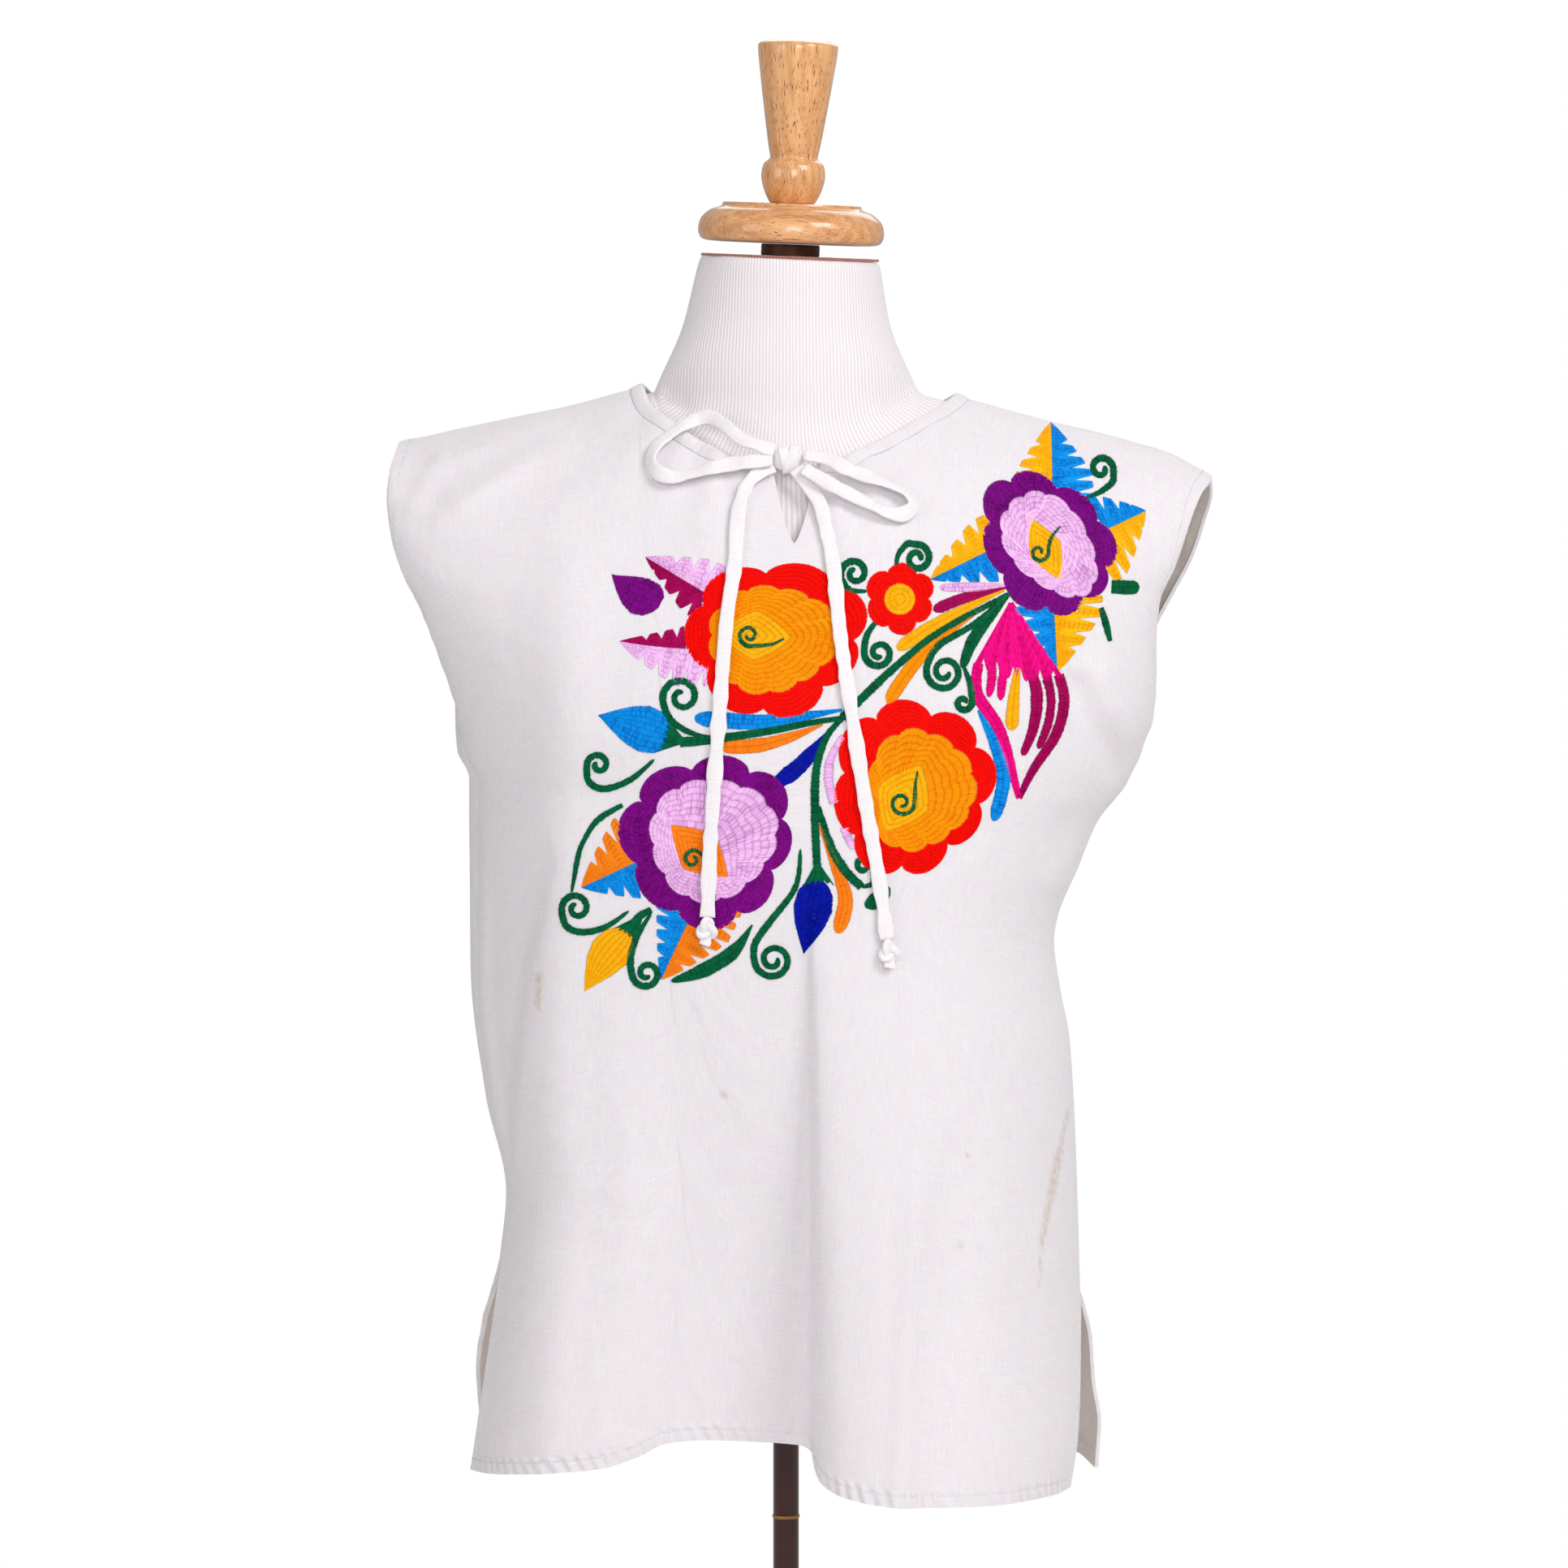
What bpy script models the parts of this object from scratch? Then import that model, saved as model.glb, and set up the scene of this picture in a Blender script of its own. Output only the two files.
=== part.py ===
"""A sleeveless cotton blouse with a drawstring neck, worn on a dress form that stands on a pole.

Metres, +Z up, the front faces -Y, and the pole's foot stands on the floor at the origin.

The front and back are each one width of cloth. A panel's point is named by two numbers. `share`
runs across it from -1 at its left edge to 1 at its right edge, as the viewer sees the front. `row`
runs down it: 0 to 1 from the shoulder ridge to the underarm, 1 to 2 down the side seam, and 2 to 3
down the side slit to the hem.
"""
import math
from collections import namedtuple

import bmesh
import bpy
from mathutils import Matrix, Vector
from mathutils.bvhtree import BVHTree

WALL = 0.0012        # the cotton
HEM_WALL = 0.0023    # the cotton where a hem is turned
SEAM_GAP = 0.0003    # between pieces that are sewn together
ROUND = 2.5          # how square a cross-section is, 2 for an ellipse

# The seam where front and back meet on top of the shoulder. Across the neck it is where they
# would meet if there were no neck hole.
Ridge = namedtuple("Ridge", "x z")
SHOULDER_RIDGE = [
    Ridge(-0.2475, 1.359), Ridge(-0.213, 1.367), Ridge(-0.178, 1.3745), Ridge(-0.141, 1.382),
    Ridge(-0.091, 1.395), Ridge(0.004, 1.412), Ridge(0.108, 1.389), Ridge(0.1716, 1.372),
    Ridge(0.198, 1.366), Ridge(0.2236, 1.359), Ridge(0.244, 1.353), Ridge(0.273, 1.337)]

# The edges of the panels, from the shoulder tip down. The side seams belong to both panels.
Edge = namedtuple("Edge", "z x y")
ARMHOLE_LEFT = [
    Edge(1.359, -0.2475, 0), Edge(1.3405, -0.2515, 0), Edge(1.326, -0.2527, 0),
    Edge(1.302, -0.250, 0), Edge(1.278, -0.243, 0), Edge(1.255, -0.232, 0),
    Edge(1.213, -0.217, 0), Edge(1.193, -0.211, 0), Edge(1.158, -0.204, 0)]
ARMHOLE_RIGHT_FRONT = [
    Edge(1.337, 0.273, 0), Edge(1.325, 0.263, 0), Edge(1.280, 0.246, 0), Edge(1.2595, 0.237, 0),
    Edge(1.236, 0.235, 0), Edge(1.211, 0.2355, 0), Edge(1.187, 0.2345, 0), Edge(1.168, 0.229, 0),
    Edge(1.149, 0.222, 0), Edge(1.134, 0.214, 0)]
ARMHOLE_RIGHT_BACK = [
    Edge(1.337, 0.273, 0), Edge(1.325, 0.2746, 0), Edge(1.308, 0.271, 0), Edge(1.283, 0.263, 0),
    Edge(1.262, 0.252, 0), Edge(1.236, 0.238, 0), Edge(1.190, 0.222, 0), Edge(1.134, 0.214, 0)]
SEAM_LEFT = [
    Edge(1.158, -0.204, -0.006), Edge(1.143, -0.1965, -0.012), Edge(1.085, -0.1965, -0.020),
    Edge(1.021, -0.197, -0.026), Edge(0.939, -0.1885, -0.036), Edge(0.880, -0.1765, -0.048),
    Edge(0.837, -0.1815, -0.056)]
SEAM_RIGHT = [
    Edge(1.134, 0.214, 0.0), Edge(1.117, 0.2005, 0.0), Edge(1.086, 0.1875, 0.0),
    Edge(1.0545, 0.1745, -0.002), Edge(1.039, 0.172, -0.004), Edge(1.0077, 0.176, -0.006),
    Edge(0.9765, 0.182, -0.008), Edge(0.914, 0.186, -0.010), Edge(0.813, 0.1895, -0.012)]
SLIT_LEFT_FRONT = [
    Edge(0.837, -0.1815, -0.056), Edge(0.7524, -0.1940, -0.056), Edge(0.7035, -0.2015, -0.050)]
SLIT_LEFT_BACK = [
    Edge(0.837, -0.1815, -0.056), Edge(0.815, -0.188, -0.030), Edge(0.795, -0.194, -0.010),
    Edge(0.760, -0.1995, 0.002), Edge(0.705, -0.196, 0.010)]
SLIT_RIGHT_FRONT = [
    Edge(0.813, 0.1895, -0.012), Edge(0.758, 0.188, -0.042), Edge(0.726, 0.186, -0.056),
    Edge(0.695, 0.181, -0.065)]
SLIT_RIGHT_BACK = [
    Edge(0.813, 0.1895, -0.012), Edge(0.782, 0.197, -0.004), Edge(0.7507, 0.1995, -0.003),
    Edge(0.7285, 0.203, -0.006), Edge(0.698, 0.201, -0.010)]

# The neck holes, front and back, up to the neck points on the ridge.
NECK_FRONT = [
    Ridge(-0.091, 1.395), Ridge(-0.0855, 1.384), Ridge(-0.0713, 1.3735), Ridge(-0.0507, 1.3605),
    Ridge(-0.0198, 1.3505), Ridge(0.0178, 1.350), Ridge(0.0471, 1.3565), Ridge(0.0662, 1.3635),
    Ridge(0.0831, 1.3725), Ridge(0.0985, 1.381), Ridge(0.108, 1.389)]
NECK_BACK = [
    Ridge(-0.091, 1.395), Ridge(-0.082, 1.3865), Ridge(-0.060, 1.3785), Ridge(0.006, 1.3725),
    Ridge(0.072, 1.377), Ridge(0.097, 1.383), Ridge(0.108, 1.389)]

# The hems: where a point at this share of the width hangs.
Hem = namedtuple("Hem", "share x y z")
FRONT_HEM = [
    Hem(-1.00, -0.2015, -0.050, 0.7035), Hem(-0.94, -0.190, -0.084, 0.7070),
    Hem(-0.86, -0.1755, -0.107, 0.7103), Hem(-0.71, -0.1457, -0.127, 0.7145),
    Hem(-0.575, -0.1181, -0.129, 0.7174), Hem(-0.46, -0.0939, -0.118, 0.7232),
    Hem(-0.375, -0.0767, -0.107, 0.7298), Hem(-0.27, -0.0557, -0.101, 0.7312),
    Hem(-0.11, -0.0229, -0.098, 0.7299), Hem(0.04, 0.0085, -0.101, 0.7281),
    Hem(0.078, 0.0165, -0.110, 0.7256), Hem(0.088, 0.0182, -0.128, 0.7180),
    Hem(0.105, 0.0226, -0.147, 0.7110), Hem(0.18, 0.0372, -0.161, 0.7045),
    Hem(0.295, 0.0615, -0.167, 0.7004), Hem(0.44, 0.0914, -0.165, 0.6985),
    Hem(0.63, 0.1299, -0.147, 0.6974), Hem(0.78, 0.1584, -0.117, 0.6965),
    Hem(0.90, 0.1725, -0.090, 0.6952), Hem(1.00, 0.181, -0.065, 0.6950)]
BACK_HEM = [
    Hem(-1.00, -0.196, 0.010, 0.705), Hem(-0.94, -0.190, 0.056, 0.706),
    Hem(-0.80, -0.163, 0.099, 0.706), Hem(-0.60, -0.125, 0.137, 0.705),
    Hem(-0.40, -0.085, 0.140, 0.704), Hem(-0.20, -0.040, 0.124, 0.706),
    Hem(0.00, 0.004, 0.128, 0.706), Hem(0.22, 0.045, 0.147, 0.704),
    Hem(0.42, 0.090, 0.148, 0.702), Hem(0.62, 0.130, 0.125, 0.702),
    Hem(0.80, 0.166, 0.099, 0.701), Hem(0.94, 0.192, 0.044, 0.699),
    Hem(1.00, 0.201, -0.010, 0.698)]

# How far the cloth stands from the shoulder line at the middle of a panel, by height.
Depth = namedtuple("Depth", "z front back")
DEPTHS = [
    Depth(1.146, 0.140, 0.112), Depth(1.10, 0.143, 0.114), Depth(1.00, 0.143, 0.118),
    Depth(0.90, 0.141, 0.124), Depth(0.80, 0.138, 0.130), Depth(0.70, 0.137, 0.134)]

# Soft folds that run out of the drawn-in neck. `turn` is the direction they take, in degrees from
# straight down, `length` how far they run, and `lift` how far they stand out.
Gather = namedtuple("Gather", "x z turn length width lift")
NECK_GATHERS = [
    Gather(-0.079, 1.372, -38, 0.085, 0.0095, 0.0042), Gather(-0.062, 1.362, -26, 0.075, 0.0085, 0.0036),
    Gather(-0.044, 1.354, -8, 0.090, 0.0080, 0.0045), Gather(-0.026, 1.349, 4, 0.060, 0.0070, 0.0030),
    Gather(0.034, 1.346, -12, 0.070, 0.0080, 0.0034), Gather(0.052, 1.350, 10, 0.085, 0.0105, 0.0055),
    Gather(0.074, 1.358, 22, 0.075, 0.0090, 0.0038), Gather(0.094, 1.370, 36, 0.080, 0.0095, 0.0040)]

# Longer creases: from the underarm and the shoulder, by their two ends.
Crease = namedtuple("Crease", "x z end_x end_z width lift")
FRONT_CREASES = [
    Crease(-0.150, 1.376, -0.222, 1.345, 0.0085, 0.0030), Crease(-0.138, 1.362, -0.214, 1.322, 0.0100, 0.0034),
    Crease(0.176, 1.215, 0.212, 1.146, 0.0100, -0.0065), Crease(0.196, 1.222, 0.222, 1.168, 0.0090, 0.0040),
    Crease(0.168, 1.075, 0.205, 1.125, 0.0100, 0.0045), Crease(-0.135, 1.300, -0.160, 0.760, 0.0240, 0.0060)]

Panel = namedtuple("Panel", "sign depth rise armholes slits neck hem creases gathers open side_swell")
FRONT = Panel(-1, "front", 1.35, (ARMHOLE_LEFT, ARMHOLE_RIGHT_FRONT), (SLIT_LEFT_FRONT, SLIT_RIGHT_FRONT),
              NECK_FRONT, FRONT_HEM, FRONT_CREASES, NECK_GATHERS, 0.045, (0.0, 0.0))
BACK = Panel(1, "back", 1.0, (ARMHOLE_LEFT, ARMHOLE_RIGHT_BACK), (SLIT_LEFT_BACK, SLIT_RIGHT_BACK),
             NECK_BACK, BACK_HEM, [], [], 0.050, (0.015, 0.004))
SEAMS = (SEAM_LEFT, SEAM_RIGHT)

# The V slit below the bow: its middle, its tip and how far each side is from the middle at the top.
SLIT_X, SLIT_TIP, SLIT_HALF = 0.0055, 1.2985, 0.0135

# The dress form by height: half its width and how far its front and back are from the shoulder line.
Section = namedtuple("Section", "z half front back")
FORM_SHOULDER = [
    Section(1.355, 0.185, 0, 0), Section(1.30, 0.183, 0, 0), Section(1.25, 0.179, 0, 0),
    Section(1.20, 0.173, 0, 0), Section(1.146, 0.168, 0, 0)]
FORM_TRUNK = [
    Section(1.146, 0.168, 0.132, 0.100), Section(1.10, 0.156, 0.120, 0.093), Section(1.05, 0.139, 0.100, 0.085),
    Section(1.00, 0.128, 0.088, 0.081), Section(0.95, 0.133, 0.086, 0.087), Section(0.90, 0.149, 0.088, 0.100),
    Section(0.85, 0.161, 0.089, 0.111), Section(0.805, 0.165, 0.086, 0.113), Section(0.790, 0.158, 0.080, 0.107),
    Section(0.782, 0.140, 0.068, 0.094)]
FORM_NECK = [
    Section(1.411, 0.0765, 0.0560, 0.0620), Section(1.429, 0.0680, 0.0545, 0.0600),
    Section(1.446, 0.0640, 0.0545, 0.0590), Section(1.462, 0.0610, 0.0550, 0.0585),
    Section(1.4745, 0.0585, 0.0555, 0.0580), Section(1.4775, 0.0560, 0.0530, 0.0555)]
FORM_NECK_HALF = 0.0855
CAP_FOOT, CAP_TURN = Vector((0.0026, 0.0, 1.4775)), math.radians(2.2)

# The drawstring, as it hangs on the front. `lift` is how far its middle is from what it lies on.
Lay = namedtuple("Lay", "x z lift")
LOOP_LEFT = [
    Lay(-0.0072, 1.3562, 0.0114), Lay(-0.0190, 1.3600, 0.0129), Lay(-0.0293, 1.3640, 0.0124),
    Lay(-0.0385, 1.3715, 0.0109), Lay(-0.0492, 1.3765, 0.0084), Lay(-0.0600, 1.3735, 0.0069),
    Lay(-0.0720, 1.3665, 0.0059), Lay(-0.0815, 1.3590, 0.0055), Lay(-0.0852, 1.3505, 0.0055),
    Lay(-0.0815, 1.3430, 0.0059), Lay(-0.0720, 1.3395, 0.0063), Lay(-0.0600, 1.3415, 0.0065),
    Lay(-0.0480, 1.3450, 0.0069), Lay(-0.0350, 1.3475, 0.0077), Lay(-0.0230, 1.3490, 0.0089),
    Lay(-0.0084, 1.3504, 0.0107)]
LOOP_RIGHT = [
    Lay(0.0113, 1.3533, 0.0104), Lay(0.0267, 1.3505, 0.0103), Lay(0.0395, 1.3440, 0.0091),
    Lay(0.0512, 1.3400, 0.0079), Lay(0.0655, 1.3345, 0.0069), Lay(0.0765, 1.3290, 0.0059),
    Lay(0.0800, 1.3215, 0.0054), Lay(0.0735, 1.3165, 0.0051), Lay(0.0640, 1.3175, 0.0053),
    Lay(0.0540, 1.3220, 0.0059), Lay(0.0400, 1.3290, 0.0074), Lay(0.0267, 1.3360, 0.0099),
    Lay(0.0107, 1.3452, 0.0115)]
TAIL_LEFT = [
    Lay(-0.0078, 1.3465, 0.0060), Lay(-0.0180, 1.3415, 0.0050), Lay(-0.0255, 1.3325, 0.0036),
    Lay(-0.0301, 1.3161, 0.0026), Lay(-0.0322, 1.2847, 0.0026), Lay(-0.0372, 1.2500, 0.0026),
    Lay(-0.0424, 1.1822, 0.0026), Lay(-0.0455, 1.1400, 0.0026), Lay(-0.0475, 1.1058, 0.0026),
    Lay(-0.0490, 1.0670, 0.0034)]
TAIL_RIGHT = [
    Lay(0.0064, 1.3449, 0.0068), Lay(0.0138, 1.3340, 0.0052), Lay(0.0210, 1.3235, 0.0038),
    Lay(0.0251, 1.3075, 0.0026), Lay(0.0296, 1.2847, 0.0026), Lay(0.0337, 1.2431, 0.0026),
    Lay(0.0388, 1.2076, 0.0026), Lay(0.0490, 1.1415, 0.0026), Lay(0.0580, 1.0900, 0.0026),
    Lay(0.0630, 1.0530, 0.0034)]
TIE_WIDE, TIE_THICK = 0.0092, 0.0038
BOW_KNOT = Lay(0.0012, 1.3505, 0.0085)


def smooth(rows, field, at, key="z"):
    """Reads one column of a table between its rows, along a curve that never overshoots them."""
    rows = sorted(rows, key=lambda row: getattr(row, key))
    keys = [getattr(row, key) for row in rows]
    values = [getattr(row, field) for row in rows]
    if at <= keys[0] or at >= keys[-1]:
        return values[0] if at <= keys[0] else values[-1]
    slopes = [(values[n + 1] - values[n]) / (keys[n + 1] - keys[n]) for n in range(len(keys) - 1)]

    def turn(n):
        before, after = slopes[max(n - 1, 0)], slopes[min(n, len(slopes) - 1)]
        return 0.0 if before * after <= 0 else 2 * before * after / (before + after)

    n = max(i for i in range(len(keys) - 1) if keys[i] <= at)
    span = keys[n + 1] - keys[n]
    t = (at - keys[n]) / span
    return (values[n] * (1 + 2 * t) * (1 - t) ** 2 + values[n + 1] * t * t * (3 - 2 * t)
            + span * turn(n) * t * (1 - t) ** 2 + span * turn(n + 1) * t * t * (t - 1))


def bump(offset, width):
    """1 at the middle of a fold, falling smoothly to 0 away from it."""
    return math.exp(-(offset / width) ** 2)


def ease(t):
    t = min(max(t, 0.0), 1.0)
    return t * t * (3 - 2 * t)


def bow_out(share):
    """The depth of a cross-section at this share of its width, 1 in the middle and 0 at its ends."""
    return math.sqrt(max(0.0, 1 - abs(share) ** ROUND))


def edge(panel, side, row):
    """A point on a panel's edge. Side 0 is the left, 1 the right."""
    armhole, seam, slit = panel.armholes[side], SEAMS[side], panel.slits[side]
    if row < 1:
        angle = row * math.pi / 2
        z = seam[0].z + (armhole[0].z - seam[0].z) * math.cos(angle)
        y = seam[0].y * math.sin(angle) + panel.sign * panel.open * math.sin(2 * angle)
        return Vector((smooth(armhole, "x", z), y, z))
    rows, t = (seam, row - 1) if row <= 2 else (slit, row - 2)
    z = rows[0].z + (rows[-1].z - rows[0].z) * t
    return Vector((smooth(rows, "x", z), smooth(rows, "y", z), z))


def level(share, left, right):
    return left + (right - left) * (share + 1) / 2


def plain(panel, share, row):
    """A panel's point before its folds: the cloth bowed out between its two edges."""
    side = int(share > 0)
    end = edge(panel, side, row)
    if row < 1:
        angle = row * math.pi / 2
        depth = panel.sign * smooth(DEPTHS, panel.depth, 1.146) * math.sin(angle) ** panel.rise
        low = level(share, SEAM_LEFT[0].z, SEAM_RIGHT[0].z)
        tip = abs(share) * panel.armholes[side][0].x
        z = low + (smooth(SHOULDER_RIDGE, "z", tip, "x") - low) * math.cos(angle)
    else:
        z = level(share, edge(panel, 0, row).z, edge(panel, 1, row).z)
        depth = panel.sign * smooth(DEPTHS, panel.depth, z)
    near_edge = math.degrees(math.acos(min(1.0, abs(share) ** (ROUND / 2))))
    swell = panel.side_swell[side] * ease((row - 0.75) * 4) * math.sin(math.radians(min(4 * near_edge, 180)))
    x = abs(share) * end.x + math.copysign(swell, end.x)
    return Vector((x, end.y + (depth - end.y) * bow_out(share), z))


def folds(panel, point):
    """How far the small folds lift a point off the plain cloth."""
    lift = 0.0
    for fold in panel.gathers:
        down = Vector((math.sin(math.radians(fold.turn)), -math.cos(math.radians(fold.turn))))
        out = Vector((point.x - fold.x, point.z - fold.z))
        along, across = out.dot(down), out.cross(down)
        width = fold.width * (1 + max(along, 0) / fold.length)
        lift += fold.lift * bump(across, width) * ease((along + 0.012) / 0.012) * (1 - ease(along / fold.length))
    for fold in panel.creases:
        start, end = Vector((fold.x, fold.z)), Vector((fold.end_x, fold.end_z))
        line = end - start
        along = (Vector((point.x, point.z)) - start).dot(line) / line.length_squared
        across = (Vector((point.x, point.z)) - start).cross(line) / line.length
        lift += fold.lift * bump(across, fold.width) * ease(along * 4 + 0.5) * ease((1 - along) * 4 + 0.5)
    return lift


def side_step(point):
    """On the left the front is folded back along a slanting line, and the strip beside it lies deeper."""
    line = smooth([Edge(1.10, -0.142, 0), Edge(1.013, -0.160, 0), Edge(0.94, -0.168, 0), Edge(0.86, -0.174, 0)],
                  "x", point.z)
    return 0.013 * ease((line - point.x) / 0.010) * ease((1.12 - point.z) / 0.08) * ease((point.z - 0.80) / 0.06)


def worn(panel, share, row):
    """A panel's point as the blouse is worn."""
    point = plain(panel, share, row)
    if row >= 1:
        foot = plain(panel, share, 3)
        hem = Vector([smooth(panel.hem, axis, share, "share") for axis in "xyz"])
        grown = min(max((1.12 - point.z) / (1.12 - foot.z), 0.0), 1.0) ** 1.25
        point += (hem - foot) * grown
    inside = ease((1 - abs(share)) / 0.06)
    point.y += panel.sign * folds(panel, point) * inside
    if panel.sign < 0:
        point.y += side_step(point) * inside
    return point


def neck_row(panel, share):
    """The row where the neck hole starts at this share, 0 outside the neck."""
    side = int(share > 0)
    tip = abs(share) * panel.armholes[side][0].x
    if not panel.neck or not panel.neck[0].x < tip < panel.neck[-1].x:
        return 0.0
    low = level(share, SEAM_LEFT[0].z, SEAM_RIGHT[0].z)
    ridge = smooth(SHOULDER_RIDGE, "z", tip, "x")
    cosine = (smooth(panel.neck, "z", tip, "x") - low) / (ridge - low)
    return math.acos(min(1.0, cosine)) / (math.pi / 2)


def spread(panel, count, keep):
    """Shares of the columns, evenly along the hem, the chest and the neck, with those in `keep` exact."""
    fine = [n / 200 - 1 for n in range(401)]
    lines = [[worn(panel, share, row) for share in fine] for row in (3, 0.5)]
    lines.append([worn(panel, share, neck_row(panel, share)) for share in fine])
    run = [0.0]
    for n in range(400):
        run.append(run[-1] + sum((line[n + 1] - line[n]).length for line in lines))
    shares = []
    for n in range(count + 1):
        at = run[-1] * n / count
        i = max(i for i in range(400) if run[i] <= at)
        shares.append(fine[i] + (fine[i + 1] - fine[i]) * (at - run[i]) / (run[i + 1] - run[i]))
    apart = 0.4 * 2 / count
    return sorted([share for share in shares if all(abs(share - kept) > apart for kept in keep)] + keep)


def neck_shares(neck, steps):
    """The shares of the columns at both neck points and these distances inside them."""
    left, right = -ARMHOLE_LEFT[0].x, ARMHOLE_RIGHT_FRONT[0].x
    return [(neck[0].x + step) / left for step in steps] + [(neck[-1].x - step) / right for step in steps]


def row_names(top, upper, seam, slit):
    """The rows of one column, from its top edge to the hem, the first and last one a hem's width in."""
    first = top + (1 - top) * 0.045
    return ([top] + [first + (1 - first) * n / (upper - 1) for n in range(upper)]
            + [1 + n / seam for n in range(1, seam + 1)]
            + [2 + 0.92 * n / (slit - 1) for n in range(1, slit)] + [3.0])


def panel_sheet(panel, columns, upper, seam, slit, keep, cut=None):
    """Points and quads of a panel's outer face. `cut` is the share of a column slit open from the neck."""
    shares = spread(panel, columns, keep)
    points, faces, names = [], [], {}
    rows = [row_names(neck_row(panel, share), upper, seam, slit) for share in shares]
    cut_column = shares.index(cut) if cut is not None else None
    for i, share in enumerate(shares):
        for j, row in enumerate(rows[i]):
            point = worn(panel, share, row)
            opening = SLIT_HALF * max(0.0, (point.z - SLIT_TIP) / (1.350 - SLIT_TIP)) ** 0.8 if cut is not None else 0
            for half in (-1, 1):
                if i == cut_column and opening > 0:
                    moved = point + Vector((half * opening, 0, 0))
                elif cut is not None and opening > 0:
                    off = point.x - SLIT_X
                    moved = point + Vector((math.copysign(opening * bump(off, 0.030), off), 0, 0))
                else:
                    moved = point
                if i != cut_column or opening == 0:
                    names[i, j, -1] = names[i, j, 1] = len(points)
                    points.append(moved)
                    break
                names[i, j, half] = len(points)
                points.append(moved)
    for i in range(len(shares) - 1):
        for j in range(len(rows[0]) - 1):
            left, right = 1, -1
            quad = [names[i, j, left], names[i, j + 1, left], names[i + 1, j + 1, right], names[i + 1, j, right]]
            faces.append(quad if panel.sign < 0 else quad[::-1])
    return points, faces, names, shares


def normals_of(points, faces):
    found = [Vector() for _ in points]
    for face in faces:
        a, b, c, d = (points[n] for n in face)
        across = (c - a).cross(d - b)
        for n in face:
            found[n] += across
    return [normal.normalized() for normal in found]


def add_mesh(name, points, faces, colour, roughness):
    mesh = bpy.data.meshes.new(name)
    mesh.from_pydata([tuple(point) for point in points], [], faces)
    body = bmesh.new()
    body.from_mesh(mesh)
    bmesh.ops.recalc_face_normals(body, faces=body.faces)
    body.to_mesh(mesh)
    body.free()
    material = bpy.data.materials.new(name)
    material.use_nodes = True
    shader = material.node_tree.nodes["Principled BSDF"]
    shader.inputs["Base Color"].default_value = (*colour, 1)
    shader.inputs["Roughness"].default_value = roughness
    mesh.materials.append(material)
    thing = bpy.data.objects.new(name, mesh)
    bpy.context.scene.collection.objects.link(thing)
    return thing


def add_wall(name, points, faces, normals, thick, colour):
    """A cloth wall: the outer face, the inner face `thick` behind each point, and its cut edges."""
    count = len(points)
    inner = [point - normal * wall for point, normal, wall in zip(points, normals, thick)]
    outer = []
    for a, b, c, d in faces:
        short = (points[a] - points[c]).length <= (points[b] - points[d]).length
        outer += [[a, b, c], [a, c, d]] if short else [[a, b, d], [b, c, d]]
    sides = {(a, b) for face in outer for a, b in zip(face, face[1:] + face[:1])}
    walls = [[a, b, b + count, a + count][::-1] for a, b in sorted(sides) if (b, a) not in sides]
    return add_mesh(name, points + inner, outer + [[n + count for n in face[::-1]] for face in outer] + walls,
                    colour, 0.9)


def add_lathe(name, profile, steps, colour, roughness, place=Matrix()):
    """A turned body from (radius, height) pairs, closed at both ends by its first and last ring."""
    points = [place @ Vector((r * math.cos(2 * math.pi * n / steps), r * math.sin(2 * math.pi * n / steps), z))
              for r, z in profile for n in range(steps)]
    faces = [[k * steps + n, k * steps + (n + 1) % steps, (k + 1) * steps + (n + 1) % steps, (k + 1) * steps + n]
             for k in range(len(profile) - 1) for n in range(steps)]
    faces += [list(range(steps)), list(range((len(profile) - 1) * steps, len(profile) * steps))]
    return add_mesh(name, points, faces, colour, roughness)


def path_points(lays, skin, step):
    """The middle of a tie, evenly spaced: a smooth line through its lays, laid on the cloth and lifted."""
    marks = [Vector((lay.x, lay.z, lay.lift)) for lay in lays]
    line = []
    for n in range(len(marks) - 1):
        a, b, c, d = (marks[min(max(n + k, 0), len(marks) - 1)] for k in (-1, 0, 1, 2))
        for t in (k / 12 for k in range(12)):
            line.append(0.5 * (2 * b + (c - a) * t + (2 * a - 5 * b + 4 * c - d) * t ** 2
                               + (3 * b - a - 3 * c + d) * t ** 3))
    line.append(marks[-1])
    laid = []
    for x, z, lift in line:
        hit, normal, _, _ = skin.ray_cast(Vector((x, -1, z)), Vector((0, 1, 0)))
        laid.append(hit - Vector((0, lift / max(0.5, abs(normal.y)), 0)))
    depths = [point.y for point in laid]
    for n, point in enumerate(laid):
        near = depths[max(n - 4, 0):n + 5]
        point.y = sum(near) / len(near)
    kept, run = [laid[0]], 0.0
    for a, b in zip(laid, laid[1:]):
        run += (b - a).length
        if run >= step:
            kept.append(b)
            run = 0.0
    if run > step / 2:
        kept.append(laid[-1])
    return kept


def add_tie(name, lays, skin, step, colour):
    """A flat tube of cloth swept along its lay, its flat side on the cloth."""
    path = path_points(lays, skin, step)
    points, sides = [], 6
    for n, middle in enumerate(path):
        along = (path[min(n + 1, len(path) - 1)] - path[max(n - 1, 0)]).normalized()
        out = skin.find_nearest(middle)[1]
        across = along.cross(out).normalized()
        up = across.cross(along).normalized()
        for k in range(sides):
            angle = 2 * math.pi * k / sides
            points.append(middle + across * (math.cos(angle) * TIE_WIDE / 2)
                          + up * (math.sin(angle) * TIE_THICK / 2))
    faces = [[n * sides + k, n * sides + (k + 1) % sides, (n + 1) * sides + (k + 1) % sides, (n + 1) * sides + k]
             for n in range(len(path) - 1) for k in range(sides)]
    faces += [list(range(sides)), list(range((len(path) - 1) * sides, len(path) * sides))]
    add_mesh(name, points, faces, colour, 0.9)
    return path


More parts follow.
